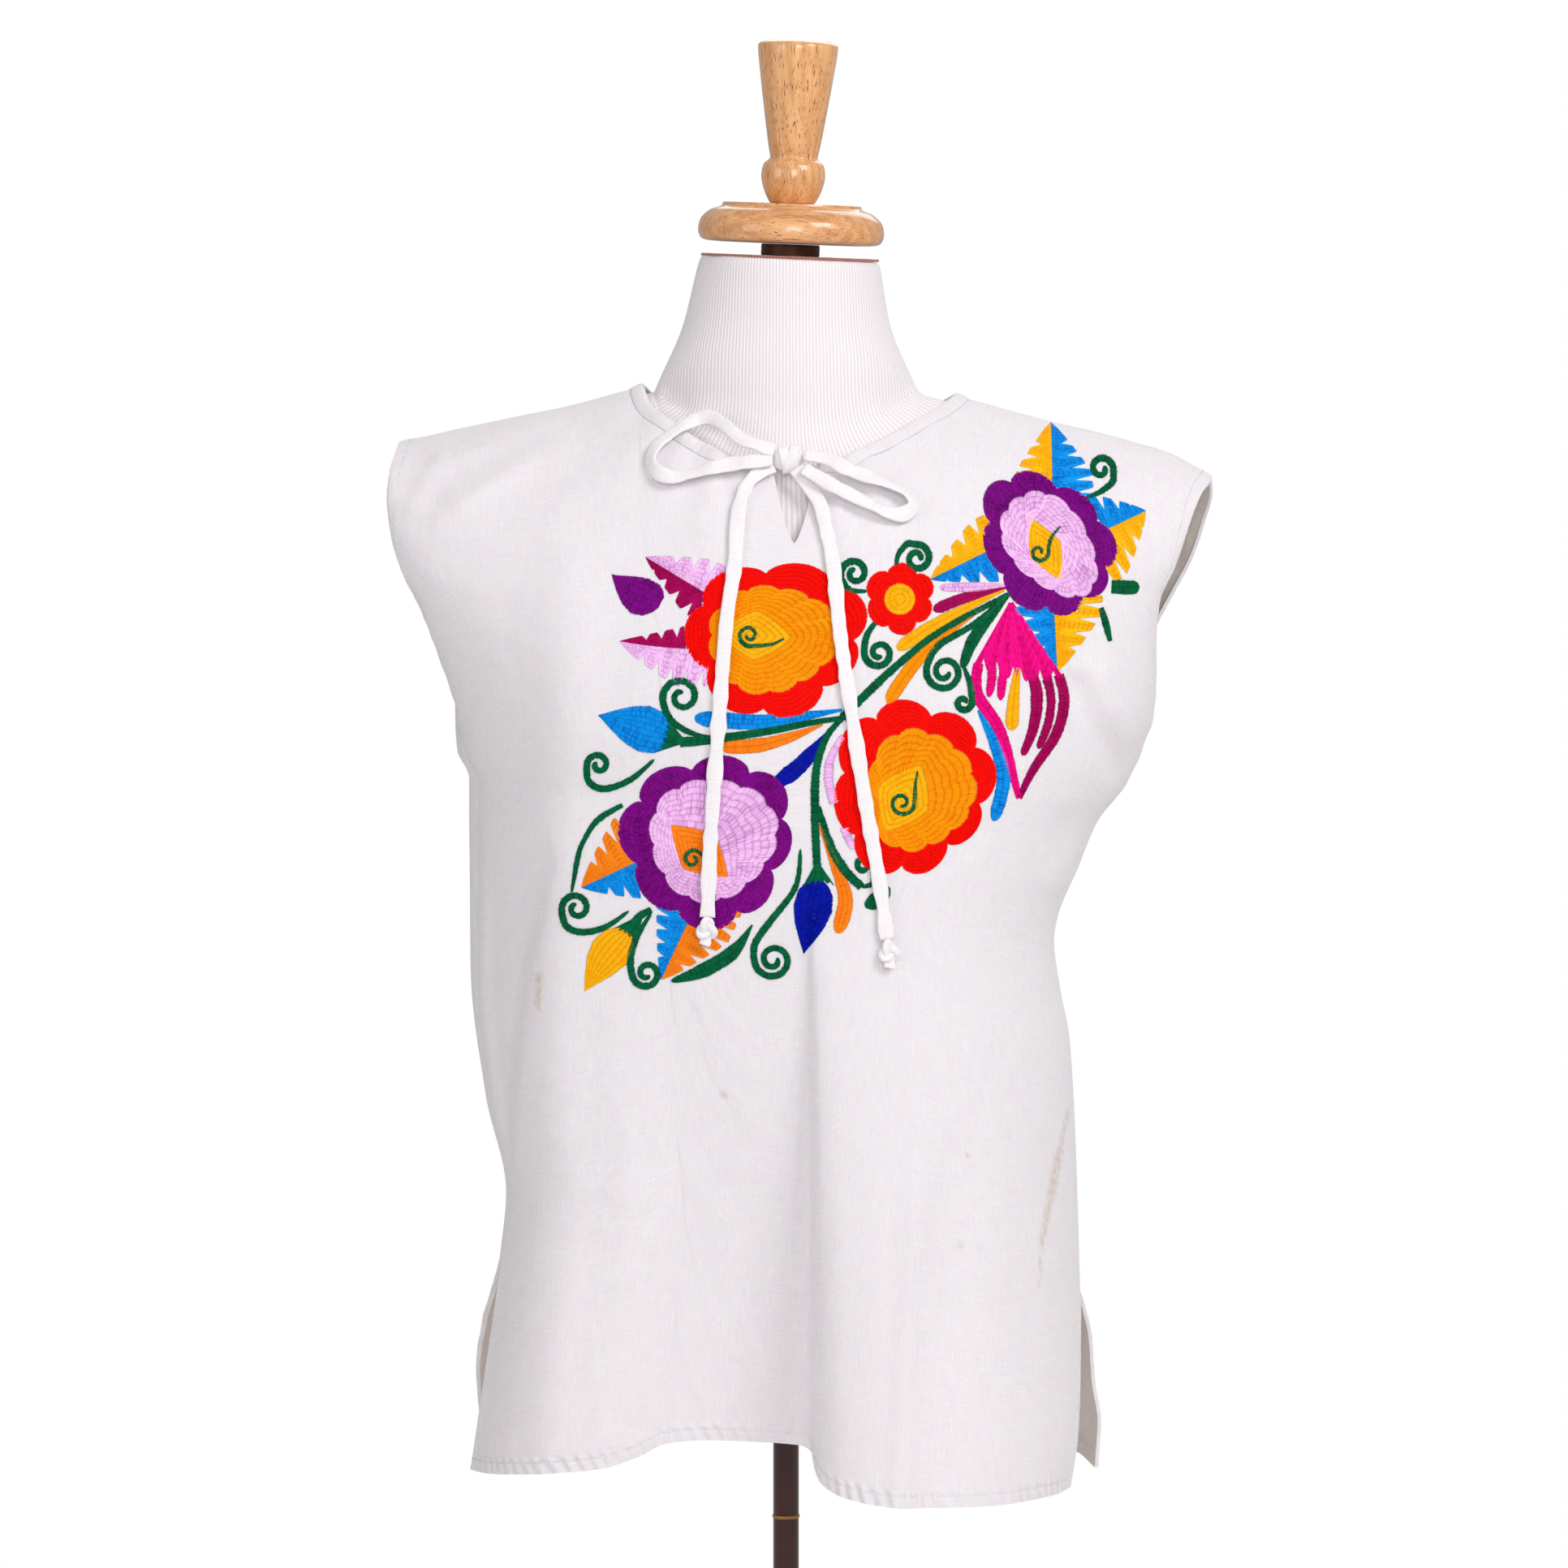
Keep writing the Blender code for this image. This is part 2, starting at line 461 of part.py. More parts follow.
def add_lump(name, middle, half_sizes, axes, colour):
    """A knot: a rounded lump with one waist around it, on its own three axes."""
    rings, steps = 8, 12
    points = []
    for k in range(1, rings):
        lat = math.pi * k / rings
        for n in range(steps):
            lon = 2 * math.pi * n / steps
            waist = 1 - 0.08 * math.cos(2 * lon) ** 2
            local = (math.cos(lat) * half_sizes[0], math.sin(lat) * math.cos(lon) * half_sizes[1] * waist,
                     math.sin(lat) * math.sin(lon) * half_sizes[2] * waist)
            points.append(middle + sum((axis * size for axis, size in zip(axes, local)), Vector()))
    points += [middle + axes[0] * half_sizes[0], middle - axes[0] * half_sizes[0]]
    faces = [[k * steps + n, k * steps + (n + 1) % steps, (k + 1) * steps + (n + 1) % steps, (k + 1) * steps + n]
             for k in range(rings - 2) for n in range(steps)]
    first, last = len(points) - 2, len(points) - 1
    faces += [[first, n, (n + 1) % steps] for n in range(steps)]
    faces += [[last, (rings - 2) * steps + n, (rings - 2) * steps + (n + 1) % steps] for n in range(steps)]
    add_mesh(name, points, faces, colour, 0.9)


def form_ridge(x):
    """The top of the form's shoulder, half a millimetre under the cloth, lower at the neck and its end."""
    drop = 0.022 * max(0.0, (abs(x) - 0.158) / 0.027) ** 2 + 0.0018 * ease((0.122 - abs(x)) / 0.016)
    return smooth(SHOULDER_RIDGE, "z", x, "x") - WALL - 0.0005 - drop


def form_point(sign, share, row):
    """The form above the bust, by the same two numbers as a panel's point."""
    angle = row * math.pi / 2
    tip = share * FORM_SHOULDER[0].half
    z = 1.146 + (form_ridge(tip) - 1.146) * math.cos(angle)
    end = 1.146 + (form_ridge(FORM_SHOULDER[0].half) - 1.146) * math.cos(angle)
    panel = FRONT if sign < 0 else BACK
    depth = getattr(FORM_TRUNK[0], panel.depth) * math.sin(angle) ** panel.rise
    return Vector((share * smooth(FORM_SHOULDER, "half", end), sign * depth * bow_out(share), z))


def add_form(colour):
    """The dress form: trunk, shoulders that close along the ridge, and the neck set into them."""
    neck = FORM_NECK_HALF / FORM_SHOULDER[0].half
    outer = [1 - (1 - neck) * (math.sin(math.pi / 2 * n / 5)) for n in range(6)]
    inner = [neck * math.sin(math.pi / 2 * n / 6) for n in range(-5, 6)]
    shares = [-share for share in outer] + inner + outer[::-1]
    first, last = 5, len(shares) - 6
    points, faces, loops = [], [], []

    def ring_start(share, sign):
        if abs(share) >= neck - 1e-9:
            return 0.0
        base = 1.3925 - (0.024 if sign < 0 else 0.020) * (1 - (share / neck) ** 2)
        top = form_ridge(share * FORM_SHOULDER[0].half)
        return math.acos(min(1.0, (base - 1.146) / (top - 1.146))) / (math.pi / 2)

    for sign in (-1, 1):
        start = len(points)
        rows = 9
        for share in shares:
            top = ring_start(share, sign)
            for j in range(rows):
                points.append(form_point(sign, share, top + (1 - top) * j / (rows - 1)))
            for section in FORM_TRUNK[1:]:
                depth = section.front if sign < 0 else section.back
                points.append(Vector((share * section.half, sign * depth * bow_out(share), section.z)))
        deep = rows + len(FORM_TRUNK) - 1
        for i in range(len(shares) - 1):
            for j in range(deep - 1):
                a = start + i * deep + j
                faces.append([a, a + 1, a + deep + 1, a + deep])
        loops.append([start + i * deep for i in range(first, last + 1)])
        foot = [start + i * deep + deep - 1 for i in range(len(shares))]
        middle = len(points)
        points.append(Vector((0, 0, FORM_TRUNK[-1].z)))
        faces += [[foot[i], foot[i + 1], middle] for i in range(len(shares) - 1)]
    loop = loops[0] + loops[1][-2:0:-1]
    around = [(math.asin(max(-1.0, min(1.0, points[n].x / FORM_NECK_HALF))), -1 if n in loops[0] else 1)
              for n in loop]
    tilt = Matrix.Rotation(CAP_TURN, 3, "Y")
    for count, section in enumerate(FORM_NECK):
        lean = ease(count / (len(FORM_NECK) - 1))
        names = [len(points) + k for k in range(len(loop))]
        for angle, sign in around:
            depth = section.front if sign < 0 else section.back
            flat = Vector((section.half * math.sin(angle), sign * depth * math.cos(angle), 0))
            points.append(flat.lerp(tilt @ flat, lean) + Vector((CAP_FOOT.x * lean, 0, section.z)))
        for k in range(len(loop)):
            m = (k + 1) % len(loop)
            faces.append([loop[k], loop[m], names[m], names[k]])
        loop = names
    middle = len(points)
    points.append(sum((points[n] for n in loop), Vector()) / len(loop))
    faces += [[loop[k], loop[(k + 1) % len(loop)], middle] for k in range(len(loop))]
    thing = add_mesh("form_body", points, faces, colour, 0.95)
    body = bmesh.new()
    body.from_mesh(thing.data)
    bmesh.ops.remove_doubles(body, verts=body.verts, dist=0.00005)
    bmesh.ops.dissolve_degenerate(body, dist=0.00001, edges=body.edges)
    bmesh.ops.recalc_face_normals(body, faces=body.faces)
    body.to_mesh(thing.data)
    body.free()


def build():
    for thing in list(bpy.data.objects):
        bpy.data.objects.remove(thing)
    cotton, jersey = (0.85, 0.84, 0.85), (0.72, 0.70, 0.74)
    honey, mahogany = (0.62, 0.33, 0.12), (0.035, 0.008, 0.008)

    # The two panels. Their columns at the neck points, and the one that is slit, are kept exact.
    front_shares = neck_shares(NECK_FRONT, (0.0, 0.0012, 0.0030, 0.0056, 0.0100))
    back_shares = neck_shares(NECK_BACK, (0.0, 0.0009, 0.0024, 0.0050, 0.0090))
    slit_share = SLIT_X / edge(FRONT, 1, 0.45).x
    sheets = {
        "front_panel": panel_sheet(FRONT, 46, 12, 7, 4, front_shares + [slit_share], cut=slit_share),
        "back_panel": panel_sheet(BACK, 28, 12, 7, 4, back_shares)}
    normals = {name: normals_of(points, faces) for name, (points, faces, _, _) in sheets.items()}

    # Along a side seam both walls are cut square to the same line, and each edge is drawn back by
    # half of the seam's gap.
    front, back = sheets["front_panel"], sheets["back_panel"]
    last = {name: len(sheet[3]) - 1 for name, sheet in sheets.items()}
    deep = 1 + max(j for _, j, _ in front[2])
    for j in range(deep):
        for side in (0, 1):
            a = front[2][last["front_panel"] * side, j, -1]
            b = back[2][last["back_panel"] * side, j, -1]
            if (front[0][a] - back[0][b]).length < 1e-6:
                shared = (normals["front_panel"][a] + normals["back_panel"][b]).normalized()
                normals["front_panel"][a] = normals["back_panel"][b] = shared
                front[0][a] += Vector((0, -SEAM_GAP / 2, 0))
                back[0][b] += Vector((0, SEAM_GAP / 2, 0))
    for name, sheet in sheets.items():
        sign = -1 if name == "front_panel" else 1
        for i, share in enumerate(sheet[3]):
            n = sheet[2][i, 0, -1]
            if neck_row(FRONT if sign < 0 else BACK, share) == 0 and 0 < i < last[name]:
                tilt = normals[name][n]
                normals[name][n] = Vector((tilt.x, 0, tilt.z)).normalized()
                sheet[0][n].y += sign * SEAM_GAP / 2

    for name, (points, faces, names, shares) in sheets.items():
        thick = [WALL] * len(points)
        for (i, j, _), n in names.items():
            if i in (0, len(shares) - 1) or j == deep - 1:
                thick[n] = HEM_WALL
        add_wall(name, points, faces, normals[name], thick, cotton)

    # The skin that the casing and the ties lie on is the outer face of both panels.
    shift = len(front[0])
    skin = BVHTree.FromPolygons(front[0] + back[0], front[1] + [[n + shift for n in face] for face in back[1]])
    add_casing(front, back, skin, cotton)

    # The ties lie on the front as it would be without its neck hole and slit.
    whole, quads, _, _ = panel_sheet(FRONT._replace(neck=[]), 46, 12, 7, 4, front_shares + [slit_share])
    skin = BVHTree.FromPolygons(whole, quads)
    add_tie("tie_loop_left", LOOP_LEFT, skin, 0.006, cotton)
    add_tie("tie_loop_right", LOOP_RIGHT, skin, 0.006, cotton)
    axes = (Vector((1, 0, 0)), Vector((0, 0, 1)), Vector((0, 1, 0)))
    hit = skin.find_nearest(Vector((BOW_KNOT.x, -0.075, BOW_KNOT.z)))[0]
    middle = Vector((BOW_KNOT.x, hit.y - BOW_KNOT.lift, BOW_KNOT.z))
    add_lump("bow_knot", middle, (0.0103, 0.0083, 0.0058), axes, cotton)
    for side, lays in (("left", TAIL_LEFT), ("right", TAIL_RIGHT)):
        path = add_tie("tie_tail_" + side, lays, skin, 0.011, cotton)
        along = (path[-1] - path[-2]).normalized()
        across = along.cross(Vector((0, 1, 0))).normalized()
        spot, normal, _, _ = skin.find_nearest(path[-1] + along * 0.0097)
        add_lump("tail_knot_" + side, spot + normal * 0.0047, (0.0095, 0.0068, 0.0045),
                 (along, across, along.cross(across)), cotton)

    add_form(jersey)

    # Cap, finial and pole, turned on a lathe. The cap leans to the right.
    cap = Matrix.Translation(CAP_FOOT) @ Matrix.Rotation(CAP_TURN, 4, "Y")
    add_lathe("cap_stem", [(0.0180, 0.0003), (0.0187, 0.0010), (0.0187, 0.0072), (0.0180, 0.0079)], 20,
              (0.10, 0.07, 0.06), 0.6, cap)
    add_lathe("cap_disc", [(0.0430, 0.0082), (0.0555, 0.0092), (0.0590, 0.0130), (0.0593, 0.0180), (0.0575, 0.0235),
                           (0.0520, 0.0285), (0.0455, 0.0310), (0.0440, 0.0335)], 28, honey, 0.3, cap)
    add_lathe("finial", [(0.0135, 0.0338), (0.0150, 0.0352), (0.0185, 0.0425), (0.0204, 0.0510), (0.0192, 0.0585),
                         (0.0158, 0.0618), (0.0152, 0.0640), (0.0165, 0.0700), (0.0200, 0.0920), (0.0238, 0.1180),
                         (0.0255, 0.1320), (0.0245, 0.1355), (0.0200, 0.1372)], 20, honey, 0.3, cap)
    add_lathe("pole_upper", [(0.0083, 0.6662), (0.0083, 0.7817)], 20, mahogany, 0.3)
    add_lathe("pole_collar", [(0.0083, 0.6635), (0.0088, 0.6640), (0.0088, 0.6655), (0.0083, 0.6659)], 20,
              (0.30, 0.18, 0.12), 0.3)
    add_lathe("pole_lower", [(0.0083, 0.0293), (0.0083, 0.6632)], 20, mahogany, 0.3)
    add_lathe("base", [(0.1760, 0.0), (0.1800, 0.0040), (0.1780, 0.0090), (0.1400, 0.0140), (0.0700, 0.0190),
                       (0.0260, 0.0235), (0.0180, 0.0290)], 32, mahogany, 0.35)


def add_casing(front, back, skin, colour):
    """The neck casing: a flat tube laid along the neck edge, from one side of the slit round to the other."""
    front_points, _, front_names, front_shares = front
    back_points, _, back_names, back_shares = back
    cut = max(i for i, j, half in front_names if (front_names[i, 0, -1] != front_names[i, 0, 1]))
    on_neck = [i for i, share in enumerate(front_shares) if neck_row(FRONT, share) > 0]
    left = [front_points[front_names[i, 0, -1]] for i in on_neck if i <= cut][::-1]
    right = [front_points[front_names[i, 0, 1]] for i in on_neck if i >= cut][::-1]
    behind = [back_points[back_names[i, 0, -1]] for i, share in enumerate(back_shares) if neck_row(BACK, share) > 0]
    corners = [min(points, key=lambda point: (point - Vector((x, 0, z))).length)
               for points, (x, z) in ((back_points, NECK_BACK[0]), (back_points, NECK_BACK[-1]))]
    stations = []
    for line in (left + [corners[0]], [corners[0]] + behind + [corners[1]], [corners[1]] + right):
        run = [0.0]
        for a, b in zip(line, line[1:]):
            run.append(run[-1] + (b - a).length)
        steps = round(run[-1] / 0.0072)
        for n in range(1 if stations else 0, steps + 1):
            at = min(run[-1] * n / steps, run[-1] - 1e-7)
            i = max(i for i in range(len(line) - 1) if run[i] <= at)
            stations.append(line[i].lerp(line[i + 1], (at - run[i]) / (run[i + 1] - run[i])))
    steps = len(stations) - 1
    across = [(0.0, 0.0019), (0.0006, 0.0009), (0.0045, 0.0009), (0.0086, 0.0009), (0.0093, 0.0017),
              (0.0072, 0.0030), (0.0020, 0.0031)]
    points, sides = [], len(across)
    for n, middle in enumerate(stations):
        along = (stations[min(n + 1, steps)] - stations[max(n - 1, 0)]).normalized()
        away = along.cross(skin.find_nearest(middle)[1]).normalized()
        if away.dot(middle - Vector((0.006, -0.005, middle.z + 0.03))) < 0:
            away = -away
        for reach, lift in across:
            spot, normal, _, _ = skin.find_nearest(middle + away * max(reach, 0.0))
            points.append(spot + normal * lift + away * min(reach, 0.0))
    faces = [[n * sides + k, n * sides + (k + 1) % sides, (n + 1) * sides + (k + 1) % sides, (n + 1) * sides + k]
             for n in range(steps) for k in range(sides)]
    faces += [list(range(sides)), list(range(steps * sides, (steps + 1) * sides))]
    add_mesh("neck_casing", points, faces, colour, 0.9)


build()
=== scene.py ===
# %% [markdown]
# # An embroidered cotton blouse on a dress form
# A sleeveless blouse of thin cotton hangs on a padded dress form. A drawstring gathers its neck
# and is tied in a bow, and a spray of flowers is embroidered over the chest. The solids of the
# object are already made. This lesson dresses them: fine cloth, thousands of satin stitches,
# ribbed jersey, and varnished wood. Everything is in metres, with the front facing -Y.

# %% The solids that everything is fitted to
import math
from types import SimpleNamespace

import bmesh
import bpy
import numpy as np
from mathutils import Matrix, Vector
from mathutils.bvhtree import BVHTree


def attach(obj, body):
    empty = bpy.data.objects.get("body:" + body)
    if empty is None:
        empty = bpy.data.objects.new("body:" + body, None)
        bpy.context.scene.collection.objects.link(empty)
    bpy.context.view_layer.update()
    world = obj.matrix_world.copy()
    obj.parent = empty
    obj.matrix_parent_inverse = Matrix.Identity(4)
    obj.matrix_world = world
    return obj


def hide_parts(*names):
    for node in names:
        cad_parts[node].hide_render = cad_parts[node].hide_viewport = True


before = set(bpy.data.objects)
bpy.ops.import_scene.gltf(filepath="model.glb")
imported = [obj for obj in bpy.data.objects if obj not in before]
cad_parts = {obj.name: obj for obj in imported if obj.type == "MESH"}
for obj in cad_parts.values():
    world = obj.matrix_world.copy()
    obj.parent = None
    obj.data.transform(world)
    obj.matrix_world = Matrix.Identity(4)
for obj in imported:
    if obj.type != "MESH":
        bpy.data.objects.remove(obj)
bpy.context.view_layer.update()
MM = 0.001


# %% [markdown]
# ## Small helpers
# Colours are picked as sRGB hex values, but shaders count in linear light, so one function turns
# them. A shader is a web of nodes, and `add_node` adds one, sets it up and fills its sockets with
# values or with links from other nodes. The rest start and finish a material, put an object in
# the scene, and turn a draft with modifiers into a plain mesh.

# %% Colours, nodes and objects
def linear(hex_colour):
    parts = [int(hex_colour[n:n + 2], 16) / 255 for n in (0, 2, 4)]
    return (*[c / 12.92 if c <= 0.04045 else ((c + 0.055) / 1.055) ** 2.4 for c in parts], 1.0)


def add_node(tree, kind, sockets=None, **settings):
    """Add a node. A socket takes a value, a link, or a node, which stands for its first output."""
    made = tree.nodes.new(kind)
    for name, value in settings.items():
        setattr(made, name, value)
    for name, value in (sockets or {}).items():
        if isinstance(value, bpy.types.Node):
            value = value.outputs[0]
        if isinstance(value, bpy.types.NodeSocket):
            tree.links.new(value, made.inputs[name])
        else:
            made.inputs[name].default_value = value
    return made


def new_material(name, **sockets):
    """A material with one Principled shader. Returns it, its tree and the shader."""
    made = bpy.data.materials.new(name)
    made.use_nodes = True
    shader = made.node_tree.nodes["Principled BSDF"]
    for socket, value in sockets.items():
        shader.inputs[socket.replace("_", " ").title().replace("Ior", "IOR")].default_value = value
    return made, made.node_tree, shader


def dress(tree, shader, colour, relief=None):
    """Give a finished colour, and a relief if there is one, to the shader."""
    tree.links.new(colour, shader.inputs["Base Color"])
    if relief:
        tree.links.new(relief.outputs["Normal"], shader.inputs["Normal"])


def show(thing):
    bpy.context.scene.collection.objects.link(thing)
    return thing


def baked(thing):
    """The mesh of a draft as its modifiers make it. The draft is removed."""
    mesh = bpy.data.meshes.new_from_object(thing.evaluated_get(bpy.context.evaluated_depsgraph_get()))
    bpy.data.objects.remove(thing)
    return mesh


print("white in linear light:", linear("FFFFFF"))


# %% [markdown]
# ## Camera, light and floor
# The photograph was taken from the front with a long lens, a little above the chest and tilted
# down. The light is that of a white studio: a broad soft light on either side, the right one
# the stronger, one over the camera, one behind, and white all around. The floor is a pale disc
# that a tilted view shows under the stand. The Standard view keeps white white, where Blender's usual
# view transform would turn it grey.

# %% The studio
PHOTO_WIDE, SHIFT = 1932, -2.5      # pixels
TILT_DOWN = 4.2033                  # degrees
AIM = Vector((0, 0, 1.15))
LAMPS = (("key", (2.3, -2.4, 3.5), 1.6, 78), ("fill", (-2.9, -2.5, 2.0), 1.8, 24),
         ("front", (0.3, -4.0, 2.2), 1.4, 44), ("back", (0.4, 2.6, 3.2), 2.0, 20))   # name, place, size, watts
ROOM_GLOW = 0.42

camera_data = bpy.data.cameras.new("camera")
camera_data.lens, camera_data.sensor_width = 161.25, 36.0
camera_data.shift_x = SHIFT / PHOTO_WIDE
camera = show(bpy.data.objects.new("camera", camera_data))
camera.location = (0.0, -4.5, 1.4705)
camera.rotation_euler = (math.radians(90 - TILT_DOWN), 0.0, 0.0)
bpy.context.scene.camera = camera

for name, place, size, power in LAMPS:
    lamp = bpy.data.lights.new(name, "AREA")
    lamp.size, lamp.energy = size, power
    thing = show(bpy.data.objects.new(name, lamp))
    thing.location = place
    thing.rotation_euler = (AIM - Vector(place)).to_track_quat("-Z", "Y").to_euler()

world = bpy.data.worlds.new("white studio")
bpy.context.scene.world = world
world.use_nodes = True
air = world.node_tree
backdrop = air.nodes["Background"]
backdrop.inputs["Color"].default_value = linear("FFFFFF")
seen = add_node(air, "ShaderNodeLightPath").outputs["Is Camera Ray"]
glow = add_node(air, "ShaderNodeMapRange", {"Value": seen, "To Min": ROOM_GLOW, "To Max": 1.0})
air.links.new(glow.outputs[0], backdrop.inputs["Strength"])
bpy.context.scene.view_settings.view_transform = "Standard"

bpy.ops.mesh.primitive_circle_add(vertices=96, radius=2.0, fill_type="NGON", location=(0, 0, -0.0005))
floor = bpy.context.object
floor.name = "floor"
paper, _, _ = new_material("painted_studio_floor", base_color=linear("F4F3F2"), roughness=0.8)
floor.data.materials.append(paper)
print("camera at", tuple(camera.location), "lens", camera_data.lens)


# %% [markdown]
# ## The cut and the hang of the blouse
# The solids came from a few short tables: where the shoulder ridge, the armholes, the side seams,
# the neck and the hems run. The fine cloth is computed from the same tables, so that it lies on
# the solids exactly. Each table has named columns.

# %% Tables of the outline
def table(names, *rows):
    return dict(zip(names.split(), np.array(rows, float).T))


SHOULDER_RIDGE = table(
    "x z", (-0.2475, 1.359), (-0.213, 1.367), (-0.178, 1.3745), (-0.141, 1.382), (-0.091, 1.395),
    (0.004, 1.412), (0.108, 1.389), (0.1716, 1.372), (0.198, 1.366), (0.2236, 1.359), (0.244, 1.353),
    (0.273, 1.337))
ARMHOLE_LEFT = table(
    "z x y", (1.359, -0.2475, 0), (1.3405, -0.2515, 0), (1.326, -0.2527, 0), (1.302, -0.250, 0),
    (1.278, -0.243, 0), (1.255, -0.232, 0), (1.213, -0.217, 0), (1.193, -0.211, 0), (1.158, -0.204, 0))
ARMHOLE_RIGHT_FRONT = table(
    "z x y", (1.337, 0.273, 0), (1.325, 0.263, 0), (1.280, 0.246, 0), (1.2595, 0.237, 0),
    (1.236, 0.235, 0), (1.211, 0.2355, 0), (1.187, 0.2345, 0), (1.168, 0.229, 0), (1.149, 0.222, 0),
    (1.134, 0.214, 0))
ARMHOLE_RIGHT_BACK = table(
    "z x y", (1.337, 0.273, 0), (1.325, 0.2746, 0), (1.308, 0.271, 0), (1.283, 0.263, 0),
    (1.262, 0.252, 0), (1.236, 0.238, 0), (1.190, 0.222, 0), (1.134, 0.214, 0))
SEAMS = (
    table("z x y", (1.158, -0.204, -0.006), (1.143, -0.1965, -0.012), (1.085, -0.1965, -0.020),
          (1.021, -0.197, -0.026), (0.939, -0.1885, -0.036), (0.880, -0.1765, -0.048),
          (0.837, -0.1815, -0.056)),
    table("z x y", (1.134, 0.214, 0.0), (1.117, 0.2005, 0.0), (1.086, 0.1875, 0.0),
          (1.0545, 0.1745, -0.002), (1.039, 0.172, -0.004), (1.0077, 0.176, -0.006),
          (0.9765, 0.182, -0.008), (0.914, 0.186, -0.010), (0.813, 0.1895, -0.012)))
SLIT_LEFT_FRONT = table(
    "z x y", (0.837, -0.1815, -0.056), (0.7524, -0.1940, -0.056), (0.7035, -0.2015, -0.050))
SLIT_LEFT_BACK = table(
    "z x y", (0.837, -0.1815, -0.056), (0.815, -0.188, -0.030), (0.795, -0.194, -0.010),
    (0.760, -0.1995, 0.002), (0.705, -0.196, 0.010))
SLIT_RIGHT_FRONT = table(
    "z x y", (0.813, 0.1895, -0.012), (0.758, 0.188, -0.042), (0.726, 0.186, -0.056), (0.695, 0.181, -0.065))
SLIT_RIGHT_BACK = table(
    "z x y", (0.813, 0.1895, -0.012), (0.782, 0.197, -0.004), (0.7507, 0.1995, -0.003),
    (0.7285, 0.203, -0.006), (0.698, 0.201, -0.010))
NECK_FRONT = table(
    "x z", (-0.091, 1.395), (-0.0855, 1.384), (-0.0713, 1.3735), (-0.0507, 1.3605), (-0.0198, 1.3505),
    (0.0178, 1.350), (0.0471, 1.3565), (0.0662, 1.3635), (0.0831, 1.3725), (0.0985, 1.381), (0.108, 1.389))
NECK_BACK = table(
    "x z", (-0.091, 1.395), (-0.082, 1.3865), (-0.060, 1.3785), (0.006, 1.3725), (0.072, 1.377),
    (0.097, 1.383), (0.108, 1.389))
FRONT_HEM = table(
    "share x y z", (-1.00, -0.2015, -0.050, 0.7035), (-0.94, -0.190, -0.084, 0.7070),
    (-0.86, -0.1755, -0.107, 0.7103), (-0.71, -0.1457, -0.127, 0.7145), (-0.575, -0.1181, -0.129, 0.7174),
    (-0.46, -0.0939, -0.118, 0.7232), (-0.375, -0.0767, -0.107, 0.7298), (-0.27, -0.0557, -0.101, 0.7312),
    (-0.11, -0.0229, -0.098, 0.7299), (0.04, 0.0085, -0.101, 0.7281), (0.078, 0.0165, -0.110, 0.7256),
    (0.088, 0.0182, -0.128, 0.7180), (0.105, 0.0226, -0.147, 0.7110), (0.18, 0.0372, -0.161, 0.7045),
    (0.295, 0.0615, -0.167, 0.7004), (0.44, 0.0914, -0.165, 0.6985), (0.63, 0.1299, -0.147, 0.6974),
    (0.78, 0.1584, -0.117, 0.6965), (0.90, 0.1725, -0.090, 0.6952), (1.00, 0.181, -0.065, 0.6950))
BACK_HEM = table(
    "share x y z", (-1.00, -0.196, 0.010, 0.705), (-0.94, -0.190, 0.056, 0.706),
    (-0.80, -0.163, 0.099, 0.706), (-0.60, -0.125, 0.137, 0.705), (-0.40, -0.085, 0.140, 0.704),
    (-0.20, -0.040, 0.124, 0.706), (0.00, 0.004, 0.128, 0.706), (0.22, 0.045, 0.147, 0.704),
    (0.42, 0.090, 0.148, 0.702), (0.62, 0.130, 0.125, 0.702), (0.80, 0.166, 0.099, 0.701),
    (0.94, 0.192, 0.044, 0.699), (1.00, 0.201, -0.010, 0.698))
DEPTHS = table(
    "z front back", (1.146, 0.140, 0.112), (1.10, 0.143, 0.114), (1.00, 0.143, 0.118), (0.90, 0.141, 0.124),
    (0.80, 0.138, 0.130), (0.70, 0.137, 0.134))
NECK_GATHERS = [
    (-0.079, 1.372, -38, 0.085, 0.0095, 0.0042), (-0.062, 1.362, -26, 0.075, 0.0085, 0.0036),
    (-0.044, 1.354, -8, 0.090, 0.0080, 0.0045), (-0.026, 1.349, 4, 0.060, 0.0070, 0.0030),
    (0.034, 1.346, -12, 0.070, 0.0080, 0.0034), (0.052, 1.350, 10, 0.085, 0.0105, 0.0055),
    (0.074, 1.358, 22, 0.075, 0.0090, 0.0038), (0.094, 1.370, 36, 0.080, 0.0095, 0.0040)]
FRONT_CREASES = [
    (-0.150, 1.376, -0.222, 1.345, 0.0085, 0.0030), (-0.138, 1.362, -0.214, 1.322, 0.0100, 0.0034),
    (0.176, 1.215, 0.212, 1.146, 0.0100, -0.0065), (0.196, 1.222, 0.222, 1.168, 0.0090, 0.0040),
    (0.168, 1.075, 0.205, 1.125, 0.0100, 0.0045), (-0.135, 1.300, -0.160, 0.760, 0.0240, 0.0060),
    (-0.160, 1.354, -0.226, 1.306, 0.0060, 0.0018), (-0.217, 1.356, -0.240, 1.316, 0.0060, 0.0018),
    (0.082, 0.900, 0.068, 0.660, 0.0080, 0.0034), (0.104, 0.920, 0.096, 0.660, 0.0170, -0.0044)]
SIDE_LINE = table("z x", (1.10, -0.142), (1.013, -0.160), (0.94, -0.168), (0.86, -0.174))
